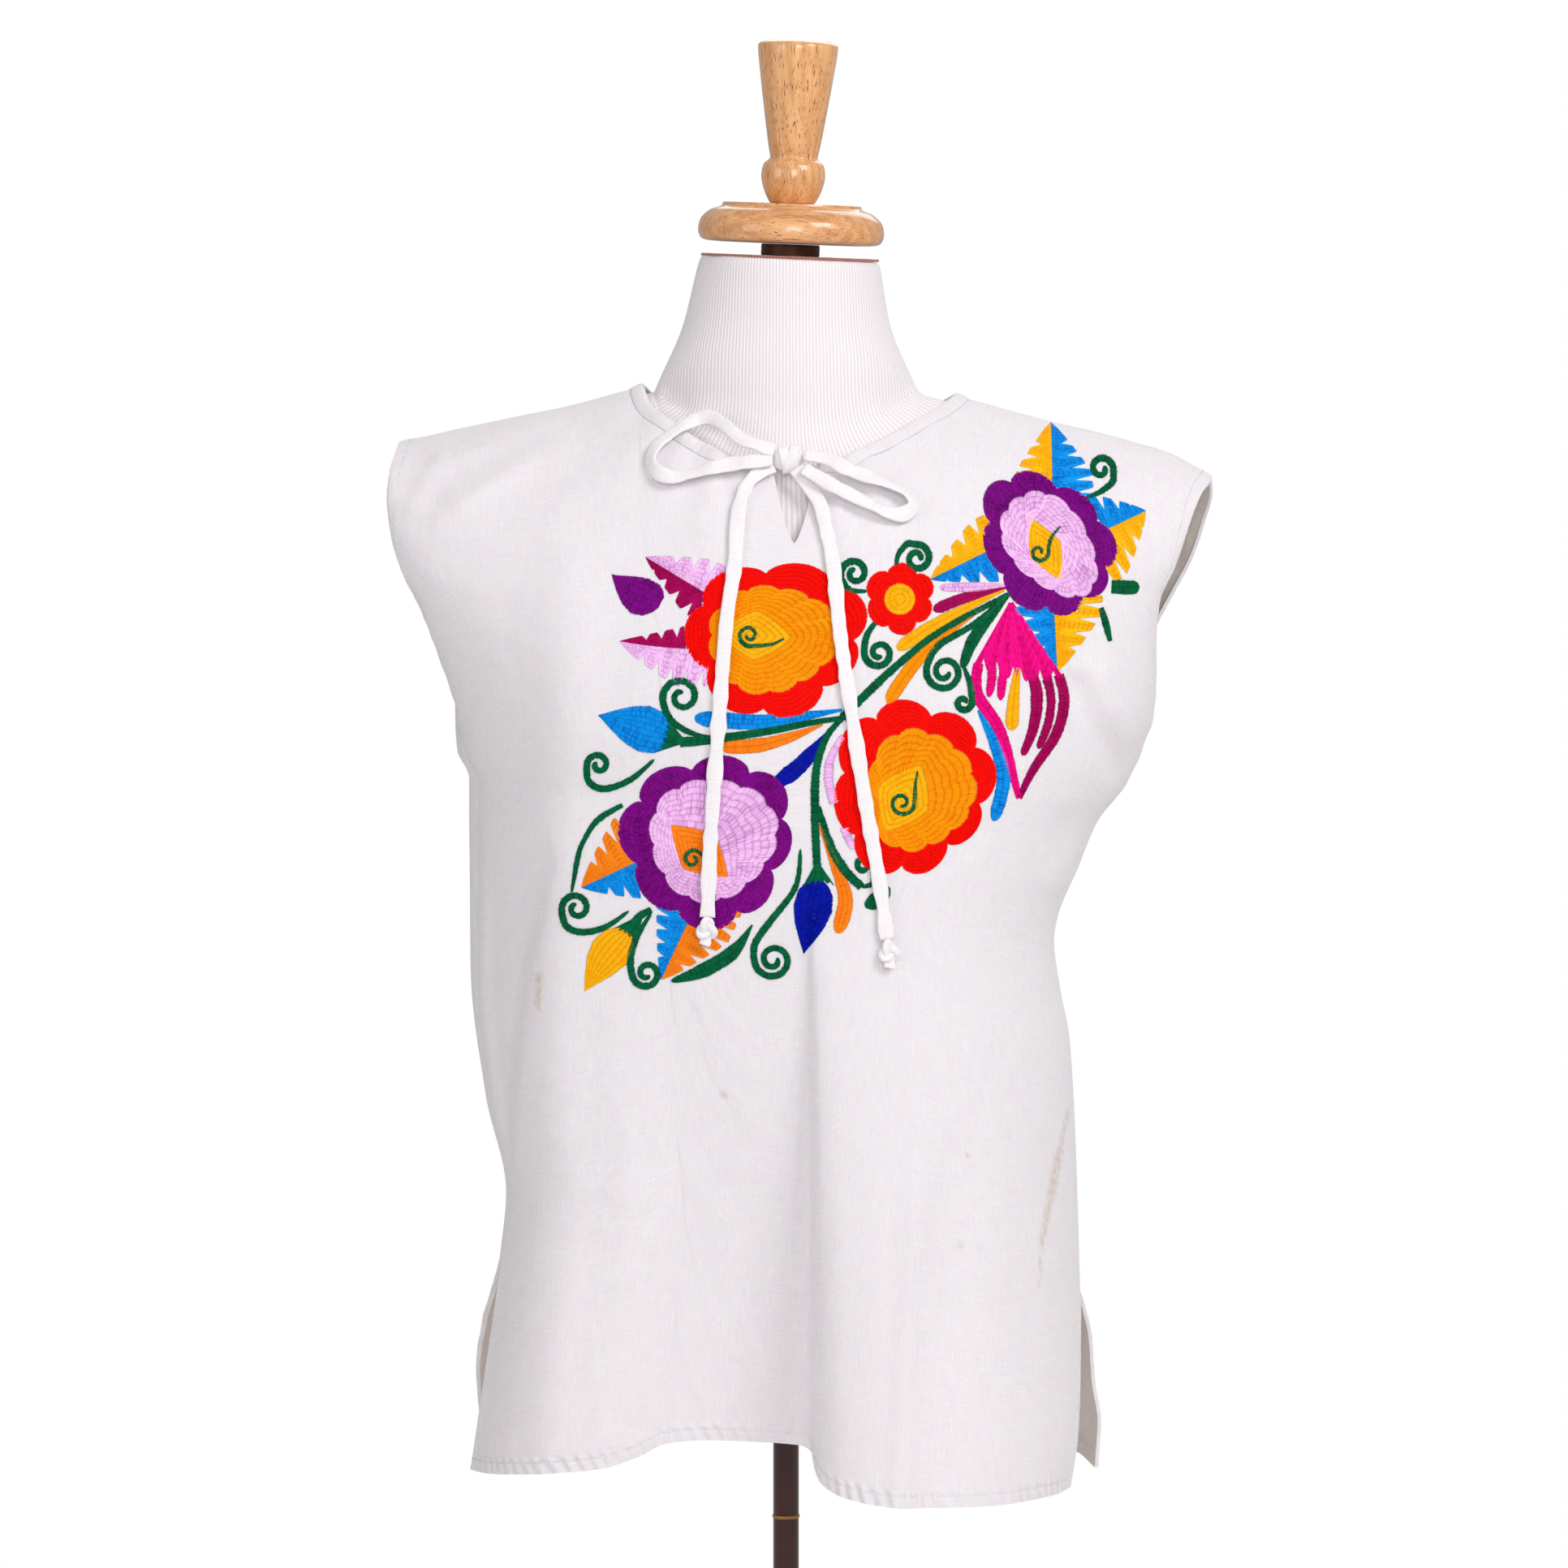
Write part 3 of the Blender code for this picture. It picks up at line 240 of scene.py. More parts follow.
FRONT = SimpleNamespace(
    sign=-1, depth="front", rise=1.35, armholes=(ARMHOLE_LEFT, ARMHOLE_RIGHT_FRONT),
    slits=(SLIT_LEFT_FRONT, SLIT_RIGHT_FRONT), neck=NECK_FRONT, hem=FRONT_HEM, creases=FRONT_CREASES,
    gathers=NECK_GATHERS, open=0.045, side_swell=(0.0, 0.0))
BACK = SimpleNamespace(
    sign=1, depth="back", rise=1.0, armholes=(ARMHOLE_LEFT, ARMHOLE_RIGHT_BACK),
    slits=(SLIT_LEFT_BACK, SLIT_RIGHT_BACK), neck=NECK_BACK, hem=BACK_HEM, creases=[], gathers=[],
    open=0.050, side_swell=(0.015, 0.004))
SLIT_X, SLIT_TIP, SLIT_TOP, SLIT_HALF = 0.0055, 1.2985, 1.350, 0.0150   # the V slit at the neck
UNDERARM, HEM_FOLDS_TOP = 1.146, 1.12
SIDE_STEP = 13 * MM                 # how far the loose side at the left steps back
HALF_CUT = 0.265                    # half the width that a panel is cut to
WALL, HEM_WALL = 1.2 * MM, 2.3 * MM
SEAM_GAP = 0.3 * MM
print("panels: front hem has", len(FRONT_HEM["x"]), "named places")


# %% [markdown]
# ## The hanging surface
# A point of a panel has two numbers. `share` runs from -1 at the left edge to 1 at the right
# edge. `row` runs from 0 at the shoulder through 1 at the underarm and 2 at the top of the side
# slit to 3 at the hem. NumPy works out all points at once.

# %% Reading the tables along smooth curves
def smooth(rows, field, at, key="z"):
    """One column of a table, read between its rows along a curve that never overshoots them."""
    order = np.argsort(rows[key])
    keys, values = rows[key][order], rows[field][order]
    slopes = np.diff(values) / np.diff(keys)
    before, after = np.r_[slopes[0], slopes], np.r_[slopes, slopes[-1]]
    total = np.where(before * after > 0, before + after, 1.0)
    turn = np.where(before * after > 0, 2 * before * after / total, 0.0)
    at = np.clip(at, keys[0], keys[-1])
    n = np.clip(np.searchsorted(keys, at, side="right") - 1, 0, len(keys) - 2)
    span = keys[n + 1] - keys[n]
    t = (at - keys[n]) / span
    return (values[n] * (1 + 2 * t) * (1 - t) ** 2 + values[n + 1] * t * t * (3 - 2 * t)
            + span * turn[n] * t * (1 - t) ** 2 + span * turn[n + 1] * t * t * (t - 1))


def bump(offset, width):
    return np.exp(-(offset / width) ** 2)


def ease(t):
    t = np.clip(t, 0.0, 1.0)
    return t * t * (3 - 2 * t)


def stack(x, y, z):
    return np.stack(np.broadcast_arrays(x, y, z), -1)


def length_of(vectors):
    return np.linalg.norm(vectors, axis=-1)


print("shoulder ridge at the neck:", round(float(smooth(SHOULDER_RIDGE, "z", 0.0, "x")), 4))


# %% A panel's points, plain and then worn
def edge(panel, side, row):
    armhole, seam, slit = panel.armholes[side], SEAMS[side], panel.slits[side]
    angle = np.clip(row, 0, 1) * math.pi / 2
    z = seam["z"][0] + (armhole["z"][0] - seam["z"][0]) * np.cos(angle)
    y = seam["y"][0] * np.sin(angle) + panel.sign * panel.open * np.sin(2 * angle)
    found = stack(smooth(armhole, "x", z), y, z)
    for rows, low, high in ((seam, 1, 2), (slit, 2, 3)):
        z = rows["z"][0] + (rows["z"][-1] - rows["z"][0]) * np.clip(row - low, 0, 1)
        there = ((row >= low) if low == 1 else (row > low))[..., None]
        found = np.where(there, stack(smooth(rows, "x", z), smooth(rows, "y", z), z), found)
    return found


def level(share, left, right):
    return left + (right - left) * (share + 1) / 2


def plain(panel, share, row):
    """A panel's points before its folds: the cloth bowed out between its two edges."""
    left, right = edge(panel, 0, row), edge(panel, 1, row)
    end = np.where((share > 0)[..., None], right, left)
    angle = np.clip(row, 0, 1) * math.pi / 2
    low = level(share, SEAMS[0]["z"][0], SEAMS[1]["z"][0])
    tip = abs(share) * np.where(share > 0, panel.armholes[1]["x"][0], panel.armholes[0]["x"][0])
    z_top = low + (smooth(SHOULDER_RIDGE, "z", tip, "x") - low) * np.cos(angle)
    z = np.where(row < 1, z_top, level(share, left[..., 2], right[..., 2]))
    depth = panel.sign * np.where(
        row < 1, smooth(DEPTHS, panel.depth, UNDERARM) * np.sin(angle) ** panel.rise,
        smooth(DEPTHS, panel.depth, z))
    near_edge = np.degrees(np.arccos(np.minimum(1.0, abs(share) ** 1.25)))
    swell = (np.where(share > 0, panel.side_swell[1], panel.side_swell[0]) * ease((row - 0.75) * 4)
             * np.sin(np.radians(np.minimum(4 * near_edge, 180))))
    bow_out = np.sqrt(np.maximum(0.0, 1 - abs(share) ** 2.5))
    x = abs(share) * end[..., 0] + np.copysign(swell, end[..., 0])
    return stack(x, end[..., 1] + (depth - end[..., 1]) * bow_out, z)


def folds(panel, point):
    """How far the gathers at the neck and the longer creases lift the points."""
    x, z = point[..., 0], point[..., 2]
    lift = np.zeros_like(x)
    for at_x, at_z, turn, length, width, height in panel.gathers:
        down_x, down_z = math.sin(math.radians(turn)), -math.cos(math.radians(turn))
        along = (x - at_x) * down_x + (z - at_z) * down_z
        across = (x - at_x) * down_z - (z - at_z) * down_x
        wide = width * (1 + np.maximum(along, 0) / length)
        lift += height * bump(across, wide) * ease((along + 0.012) / 0.012) * (1 - ease(along / length))
    for at_x, at_z, end_x, end_z, width, height in panel.creases:
        line_x, line_z = end_x - at_x, end_z - at_z
        size = math.hypot(line_x, line_z)
        along = ((x - at_x) * line_x + (z - at_z) * line_z) / size ** 2
        across = ((x - at_x) * line_z - (z - at_z) * line_x) / size
        lift += height * bump(across, width) * ease(along * 4 + 0.5) * ease((1 - along) * 4 + 0.5)
    return lift


def worn(panel, share, row):
    share, row = (np.array(a) for a in np.broadcast_arrays(np.asarray(share, float), np.asarray(row, float)))
    point = plain(panel, share, row)
    foot = plain(panel, share, np.full_like(row, 3.0))
    hem = stack(*[smooth(panel.hem, axis, share, "share") for axis in "xyz"])
    grown = np.clip((HEM_FOLDS_TOP - point[..., 2]) / (HEM_FOLDS_TOP - foot[..., 2]), 0, 1) ** 1.25
    point = point + (hem - foot) * (grown * (row >= 1))[..., None]
    inside = ease((1 - abs(share)) / 0.06)
    point[..., 1] += panel.sign * folds(panel, point) * inside
    if panel.sign < 0:
        x, z = point[..., 0], point[..., 2]
        step = SIDE_STEP * ease((smooth(SIDE_LINE, "x", z) - x) / 0.010)
        point[..., 1] += step * ease((HEM_FOLDS_TOP - z) / 0.08) * ease((z - 0.80) / 0.06) * inside
    return point


def neck_row(panel, share):
    """The row where the neck hole starts at this share, 0 outside the neck."""
    tip = abs(share) * np.where(share > 0, panel.armholes[1]["x"][0], panel.armholes[0]["x"][0])
    low = level(share, SEAMS[0]["z"][0], SEAMS[1]["z"][0])
    ridge = smooth(SHOULDER_RIDGE, "z", tip, "x")
    cosine = (smooth(panel.neck, "z", tip, "x") - low) / (ridge - low)
    inside = (tip > panel.neck["x"][0]) & (tip < panel.neck["x"][-1])
    return np.where(inside, np.arccos(np.minimum(1.0, cosine)) / (math.pi / 2), 0.0)


print("middle of the front hem:", worn(FRONT, 0.0, 3.0).round(4))


# %% [markdown]
# ## Woven cotton
# The blouse is plain-woven cotton of a soft white. In the drawstring it lies double, which lets
# no light through and looks whiter. A real thread is about 0.3 mm wide, too fine for the picture,
# so the threads are drawn about twice as wide. Two noises, stretched along and across the cloth
# by its own UV map (in metres of the flat cut), give uneven threads. A vertex attribute places a
# few small beige marks, partly stains and partly painted shade in narrow folds, and the inside of
# the cloth, which light reaches less, is a little warmer.
# Along the lower hem the stitches draw slanting ridges, too low and narrow for the mesh, so two
# attributes, the way along the hem and its band, give them to the bump.

# %% The cotton materials
THREADS_A_METRE, SLUBS_A_METRE = 1500.0, 60.0
RIDGE = 9.0 * MM                    # between the slanting ridges of the hem
# The beige of the small marks: the colour of the stains and of the painted shade in narrow folds.
STAIN_AND_FOLD_SHADE = "CDBDB3"


def woven(name, light, dark):
    made, tree, shader = new_material(name, roughness=0.88, specular_ior_level=0.2, sheen_weight=0.2,
                                      sheen_roughness=0.5, subsurface_weight=0.35, subsurface_scale=1.5 * MM)
    cut = add_node(tree, "ShaderNodeUVMap", uv_map="cut")
    threads = []
    for stretch in ((THREADS_A_METRE, SLUBS_A_METRE, 1.0), (SLUBS_A_METRE, THREADS_A_METRE, 1.0)):
        laid = add_node(tree, "ShaderNodeMapping", {"Vector": cut, "Scale": stretch})
        threads.append(add_node(tree, "ShaderNodeTexNoise", {"Vector": laid, "Scale": 1.0, "Detail": 2.0}))
    weave = add_node(tree, "ShaderNodeMath", {0: threads[0], 1: threads[1]}, operation="ADD")
    slub = add_node(tree, "ShaderNodeMapRange", {"Value": weave, "From Min": 0.75, "From Max": 1.25})
    cloth = add_node(tree, "ShaderNodeMix", {0: slub, 6: linear(dark), 7: linear(light)}, data_type="RGBA")
    # The 'mark' attribute mixes in the beige marks, stains and painted fold shade, made ragged by a noise.
    stain_and_fold_shade, run, band = (add_node(tree, "ShaderNodeAttribute", attribute_name=layer).outputs["Fac"]
                        for layer in ("mark", "hem_run", "hem_band"))
    ragged = add_node(tree, "ShaderNodeTexNoise", {"Vector": cut, "Scale": 260.0, "Detail": 3.0})
    ragged_stain_and_shade = add_node(tree, "ShaderNodeMath", {0: stain_and_fold_shade, 1: ragged}, operation="MULTIPLY")
    clear = add_node(tree, "ShaderNodeMapRange", {"Value": ragged_stain_and_shade, "From Min": 0.15, "From Max": 0.65})
    final = add_node(tree, "ShaderNodeMix", {0: clear, 6: cloth.outputs[2], 7: linear(STAIN_AND_FOLD_SHADE)},
                     data_type="RGBA")
    limp = add_node(tree, "ShaderNodeTexNoise",
                    {"Vector": cut, "Scale": 16.0, "Detail": 3.0, "Distortion": 0.6})
    wrinkles = add_node(tree, "ShaderNodeBump", {"Height": limp, "Strength": 0.45, "Distance": 6 * MM})
    phase = add_node(tree, "ShaderNodeMath", {0: run, 1: 2 * math.pi / RIDGE}, operation="MULTIPLY")
    ridges = add_node(tree, "ShaderNodeMath", {0: phase}, operation="SINE")
    drawn = add_node(tree, "ShaderNodeMath", {0: ridges, 1: band}, operation="MULTIPLY")
    puckers = add_node(tree, "ShaderNodeBump",
                       {"Height": drawn, "Strength": 1.0, "Distance": 0.55 * MM, "Normal": wrinkles})
    relief = add_node(tree, "ShaderNodeBump",
                      {"Height": weave, "Strength": 0.25, "Distance": 0.3 * MM, "Normal": puckers})
    dress(tree, shader, final.outputs[2], relief)
    return made


COTTON = woven("plain_woven_cotton", "EAE5E8", "E0DADF")
COTTON_INSIDE = woven("plain_woven_cotton_inside", "EDE6DE", "E0D8CF")
COTTON_DOUBLE = woven("plain_woven_cotton_doubled", "F2EEF0", "E9E4E7")
print("cotton:", COTTON.name, COTTON_INSIDE.name, COTTON_DOUBLE.name)


# %% [markdown]
# ## The two panels
# Each panel is one width of cloth. Its grid is finest along its edges, because a hem is a
# folded band 9 mm wide: there the cloth is thicker, the line of stitches pulls it in, and it
# puckers. The wall is built like the real cloth, an outside, an inside and a cut edge.

# %% Where the columns and rows of a panel run
EDGE_STEPS = np.array([0, 1.2, 2.6, 4.4, 6.2, 7.6, 8.6, 9.8, 11.5]) * MM
NECK_STEPS = np.array([0.0, 0.6, 1.4, 2.4, 3.6, 5.2, 7.2, 9.5]) * MM
HEM_BAND, HEM_SLANT = 9.0 * MM, 0.8
SLIT_LONG = 0.124                   # metres of cloth from the top of a side slit to the hem


def run_of(points):
    return np.r_[0, np.cumsum(length_of(np.diff(points, axis=0)))]


def column_shares(panel, count, keep):
    fine = np.linspace(-1, 1, 1201)
    lines = [worn(panel, fine, row) for row in (3.0, 1.6, 0.5)] + [worn(panel, fine, neck_row(panel, fine))]
    total = sum(run_of(line) for line in lines)
    shares = np.interp(np.linspace(0, total[-1], count + 1), total, fine)
    from_left = run_of(lines[1])
    keep = np.unique(np.r_[keep, np.interp(EDGE_STEPS, from_left, fine),
                           np.interp(from_left[-1] - EDGE_STEPS, from_left, fine)].round(7))
    gap = np.abs(shares[:, None] - keep[None]).min(1)
    return np.sort(np.r_[shares[gap > 0.6 * 2 / count], keep])


def row_grid(top):
    """Rows of every column: from its top edge down, close together at the top and at the hem."""
    upper = np.r_[0.0, 0.006, 0.013, 0.022, 0.032, np.linspace(0.045, 1, 68)]
    rows = top[:, None] + (1 - top[:, None]) * upper[None]
    hem = 3 - EDGE_STEPS[::-1] / SLIT_LONG
    lower = np.r_[1 + np.arange(1, 73) / 72, np.linspace(2, hem[0], 28)[1:-1], hem]
    return np.hstack([rows, np.broadcast_to(lower, (len(top), len(lower)))])


def neck_keeps(panel):
    left, right = -panel.armholes[0]["x"][0], panel.armholes[1]["x"][0]
    return np.r_[(panel.neck["x"][0] + NECK_STEPS) / left, (panel.neck["x"][-1] - NECK_STEPS) / right]


slit_share = SLIT_X / float(edge(FRONT, 1, np.array(0.45))[0])
print("slit at share", round(slit_share, 4))


# %% The grid of a panel, with its edges measured along the cloth
def grid_of(panel, count, keep, cut=None):
    shares = column_shares(panel, count, keep)
    rows = row_grid(neck_row(panel, shares))
    points = worn(panel, shares[:, None], rows)
    down = np.cumsum(length_of(np.diff(points, axis=1, prepend=points[:, :1])), axis=1)
    over = np.cumsum(length_of(np.diff(points, axis=0, prepend=points[:1])), axis=0)
    sides = []
    for one in ([0] if cut is None else [-1, 1]):
        moved = points.copy()
        if cut is not None:
            height = np.maximum(0.0, (points[..., 2] - SLIT_TIP) / (SLIT_TOP - SLIT_TIP))
            opening = SLIT_HALF * height ** 0.7
            off = points[..., 0] - SLIT_X
            off[np.argmin(abs(shares - cut))] = one * 1e-6
            moved[..., 0] += np.copysign(opening * bump(off, 0.030), off)
        sides.append(moved)
    return SimpleNamespace(panel=panel, shares=shares, rows=rows, sides=sides, down=down, over=over,
                           cut=None if cut is None else int(np.argmin(abs(shares - cut))))


def joined(grid):
    """All points of a grid, and their numbers, with a slit column doubled above the slit's tip."""
    points = grid.sides[0].reshape(-1, 3)
    left = np.arange(len(points)).reshape(grid.sides[0].shape[:2])
    right = left.copy()
    if grid.cut is not None:
        apart = length_of(grid.sides[1][grid.cut] - grid.sides[0][grid.cut]) > 1e-7
        extra = grid.sides[1][grid.cut][apart]
        right[grid.cut, apart] = len(points) + np.arange(len(extra))
        points = np.vstack([points, extra])
    quads = np.stack([right[:-1, :-1], right[:-1, 1:], left[1:, 1:], left[1:, :-1]], -1).reshape(-1, 4)
    return points, quads if grid.panel.sign < 0 else quads[:, ::-1], left, right


def normals_of(points, quads):
    a, b, c, d = (points[quads[:, n]] for n in range(4))
    across = np.cross(c - a, d - b)
    found = np.zeros_like(points)
    for n in range(4):
        np.add.at(found, quads[:, n], across)
    return found / np.maximum(length_of(found), 1e-12)[:, None]


front_grid = grid_of(FRONT, 150, np.r_[neck_keeps(FRONT), slit_share], cut=slit_share)
back_grid = grid_of(BACK, 130, neck_keeps(BACK))
print("front columns x rows:", front_grid.rows.shape, "back:", back_grid.rows.shape)


# %% [markdown]
# The hems come next. `edge_distance` measures how far each point is from the nearest turned
# edge: the armholes and the slits at the sides, and the hem below. The sewn side seams between
# them are not turned. A sine along the edge makes the puckers that the stitches pull in.

# %% Hems, puckers and small marks
PUCKER = 6.5 * MM
# Small beige marks on the front, partly stains and partly painted shade in narrow folds; the last four make
# one long streak of painted fold shade at the right.
STAINS_AND_FOLD_SHADES = [(-155, 1028, -156, 1008, 2.6), (-40, 955, -38, 953, 2.4), (109, 862, 110, 860, 2.0),
         (114, 916, 115, 914, 1.6), (180, 933, 173, 908, 1.8), (173, 908, 168, 884, 3.4),
         (168, 884, 162, 858, 2.4), (162, 858, 160, 828, 1.0)]   # x z end_x end_z width, in mm


def edge_distance(grid):
    side = np.minimum(grid.over, grid.over[-1:] - grid.over)
    side = np.where((grid.rows < 1.0) | (grid.rows > 2.0), side, 1.0)
    low = grid.down[:, -1:] - grid.down
    along = np.where(side < low, grid.down, grid.over)
    return np.minimum(side, low), along


def hem_lift(grid):
    gap, along = edge_distance(grid)
    rng = np.random.default_rng(5)
    phase = np.cumsum(rng.normal(0, 0.25, 400))
    wave = np.sin(along / PUCKER * 2 * math.pi + np.interp(along, np.linspace(0, 1.2, 400), phase))
    turned = 0.55 * MM * (1 - ease((gap - HEM_BAND) / (1.2 * MM)))
    groove = -0.60 * MM * bump(gap - HEM_BAND + 1.6 * MM, 0.9 * MM)
    pucker = 0.42 * MM * wave * bump(gap - HEM_BAND, 7 * MM)
    return turned + groove + pucker


def stain_and_fold_shade_of(points):
    x, z = points[:, 0] / MM, points[:, 2] / MM
    found = np.zeros(len(points))
    for at_x, at_z, end_x, end_z, width in STAINS_AND_FOLD_SHADES:
        line = np.array([end_x - at_x, end_z - at_z], float)
        t = np.clip(((x - at_x) * line[0] + (z - at_z) * line[1]) / (line @ line), 0, 1)
        far = np.hypot(x - at_x - t * line[0], z - at_z - t * line[1])
        found = np.maximum(found, bump(far, width * 1.3))
    return found


print("largest hem lift, mm:", round(float(hem_lift(front_grid).max() / MM), 2))


# %% Building a wall of cloth
def new_object(name, points, faces, materials, slots=None, smooth_faces=True):
    mesh = bpy.data.meshes.new(name)
    mesh.from_pydata(np.asarray(points).tolist(), [], [list(face) for face in faces])
    for material in materials:
        mesh.materials.append(material)
    if slots is not None:
        mesh.polygons.foreach_set("material_index", np.asarray(slots, np.int32))
    mesh.polygons.foreach_set("use_smooth", np.full(len(mesh.polygons), smooth_faces))
    return show(bpy.data.objects.new(name, mesh))


def set_uv(thing, values, name="cut"):
    corners = np.empty(len(thing.data.loops), np.int32)
    thing.data.loops.foreach_get("vertex_index", corners)
    layer = thing.data.uv_layers.new(name=name)
    layer.uv.foreach_set("vector", np.asarray(values, np.float32)[corners].ravel())


def set_value(thing, name, values):
    layer = thing.data.attributes.new(name, "FLOAT", "POINT")
    layer.data.foreach_set("value", np.asarray(values, np.float32))


def cloth_wall(name, outer, quads, normals, thick, uv, marks):
    count = len(outer)
    sides = np.vstack([quads[:, [n, (n + 1) % 4]] for n in range(4)])
    ahead, behind = sides[:, 0] * count + sides[:, 1], sides[:, 1] * count + sides[:, 0]
    a, b = sides[~np.isin(ahead, behind)].T
    walls = np.stack([b, a, a + count, b + count], -1)
    faces = np.vstack([quads, quads[:, ::-1] + count, walls])
    slots = np.r_[np.zeros(len(quads)), np.ones(len(quads)), np.zeros(len(walls))]
    made = new_object(name, np.vstack([outer, outer - normals * thick[:, None]]), faces,
                      [COTTON, COTTON_INSIDE], slots)
    set_uv(made, np.vstack([uv, uv]))
    # The outside carries the beige marks, stains and painted fold shade; the inside has none.
    set_value(made, "mark", np.r_[marks, marks * 0])
    made.data.set_sharp_from_angle(angle=math.radians(60))
    return made


def per_point(values, left, right):
    """A grid's values given to its points, with those that the slit doubles."""
    found = np.zeros((max(left.max(), right.max()) + 1, *values.shape[2:]))
    found[left] = found[right] = values
    return found


def dressed(name, grid):
    """The finished panel of a grid. Returns its object, its outer points, quads and normals."""
    points, quads, left, right = joined(grid)
    normals = normals_of(points, quads)
    sign = grid.panel.sign
    seam = (grid.rows >= 1) & (grid.rows <= 2)
    for column in (0, -1):
        rows = np.r_[left[column][seam[column]], left[column][:1]]
        points[rows, 1] += sign * SEAM_GAP / 2
    ridge = left[:, 0][neck_row(grid.panel, grid.shares) == 0]
    points[ridge[1:-1], 1] += sign * SEAM_GAP / 2
    uv = per_point(np.stack([grid.down * 0 + grid.shares[:, None] * HALF_CUT, grid.down], -1), left, right)
    gap, _ = edge_distance(grid)
    turned_in = 1 - ease((gap - HEM_BAND) / (1.2 * MM))
    thick = per_point(WALL + (HEM_WALL - WALL) * turned_in, left, right)
    outer = points + normals * per_point(hem_lift(grid), left, right)[:, None]
    # Stains and painted fold shade, on the front only.
    marks = stain_and_fold_shade_of(outer) if sign < 0 else np.zeros(len(outer))
    thing = cloth_wall(name, outer, quads, normals, thick, uv, marks)
    rng = np.random.default_rng(6)
    pull = np.interp(grid.over, np.linspace(0, 0.5, 20), rng.uniform(0.3, 1.0, 20))
    jitter = np.interp(grid.over, np.linspace(0, 0.5, 30), rng.normal(0, 1.6 * MM, 30))
    low, side = grid.down[:, -1:] - grid.down, np.minimum(grid.over, grid.over[-1:] - grid.over)
    band = pull * (1 - ease((low - HEM_BAND) / (4 * MM))) * ease((side - 7 * MM) / (12 * MM))
    for attribute, values in (("hem_run", grid.over + jitter + HEM_SLANT * low), ("hem_band", band)):
        set_value(thing, attribute, np.tile(per_point(values, left, right), 2))
    return SimpleNamespace(thing=thing, points=outer, quads=quads, normals=normals, left=left, right=right)


front = dressed("blouse_front", front_grid)
back = dressed("blouse_back", back_grid)
for piece in (front, back):
    print(piece.thing.name, "quads", len(piece.thing.data.polygons))


# %% [markdown]
# ## The neck casing
# The neck edge is folded into a narrow channel that the drawstring runs in, from one side of the
# V slit round to the other. Drawing the string up puckers it. It is a tube swept along the neck
# edge: at each station a small cross-section is laid on the cloth's surface and lifted off it.

# %% Sweeping a tube of cloth
def skin_of(points, quads):
    return BVHTree.FromPolygons([Vector(p) for p in points.tolist()], quads.tolist())


def at_run(line, run, where):
    """The points of a line at these distances along it."""
    return np.stack([np.interp(where, run, line[:, n]) for n in range(3)], -1)


def resample(line, step):
    run = run_of(line)
    count = max(int(round(run[-1] / step)), 2)
    return at_run(line, run, np.linspace(0, run[-1], count + 1))


TUBE_AROUND = 0.024                 # metres of flat cloth around a tube, for its UV map


def swept(name, rings, materials):
    """A closed tube through rings of points (stations x sides x 3), with its UV map in metres."""
    stations, sides = rings.shape[:2]
    index = np.arange(stations * sides).reshape(stations, sides)
    turned = np.roll(index, -1, 1)
    quads = np.stack([index[:-1], turned[:-1], turned[1:], index[1:]], -1).reshape(-1, 4)
    faces = [*quads.tolist(), index[0][::-1].tolist(), index[-1].tolist()]
    made = new_object(name, rings.reshape(-1, 3), faces, materials)
    body = bmesh.new()
    body.from_mesh(made.data)
    bmesh.ops.recalc_face_normals(body, faces=body.faces)
    body.to_mesh(made.data)
    body.free()
    run = run_of(rings.mean(1))
    u = np.abs(np.linspace(-1, 1, sides, endpoint=False)) * TUBE_AROUND / 2
    set_uv(made, np.stack(np.broadcast_arrays(u[None], run[:, None]), -1).reshape(-1, 2))
    return made


all_quads = np.vstack([front.quads, back.quads + len(front.points)])
skin = skin_of(np.vstack([front.points, back.points]), all_quads)
on_front = neck_row(FRONT, front_grid.shares) > 0
on_back = neck_row(BACK, back_grid.shares) > 0
cut = front_grid.cut
columns = np.arange(len(front_grid.shares))
left_edge = front.points[front.left[on_front & (columns <= cut), 0]][::-1]
right_edge = front.points[front.right[on_front & (columns >= cut), 0]][::-1]
neck_line = resample(np.vstack([left_edge, back.points[back.left[on_back, 0]], right_edge]), 1.8 * MM)
print("neck edge is", round(float(run_of(neck_line)[-1]), 3), "m long")


# %% The casing's puckered cross-section
CASING = np.array([   # reach from the neck edge, and lift off the cloth
    (-0.2, 0.8), (0.0, 0.0), (2.4, -0.3), (4.8, -0.3), (7.2, -0.3), (9.0, -0.3), (9.8, 0.0),
    (9.0, 0.55), (7.4, 1.1), (5.0, 1.7), (2.6, 2.1), (0.6, 1.7)]) * MM


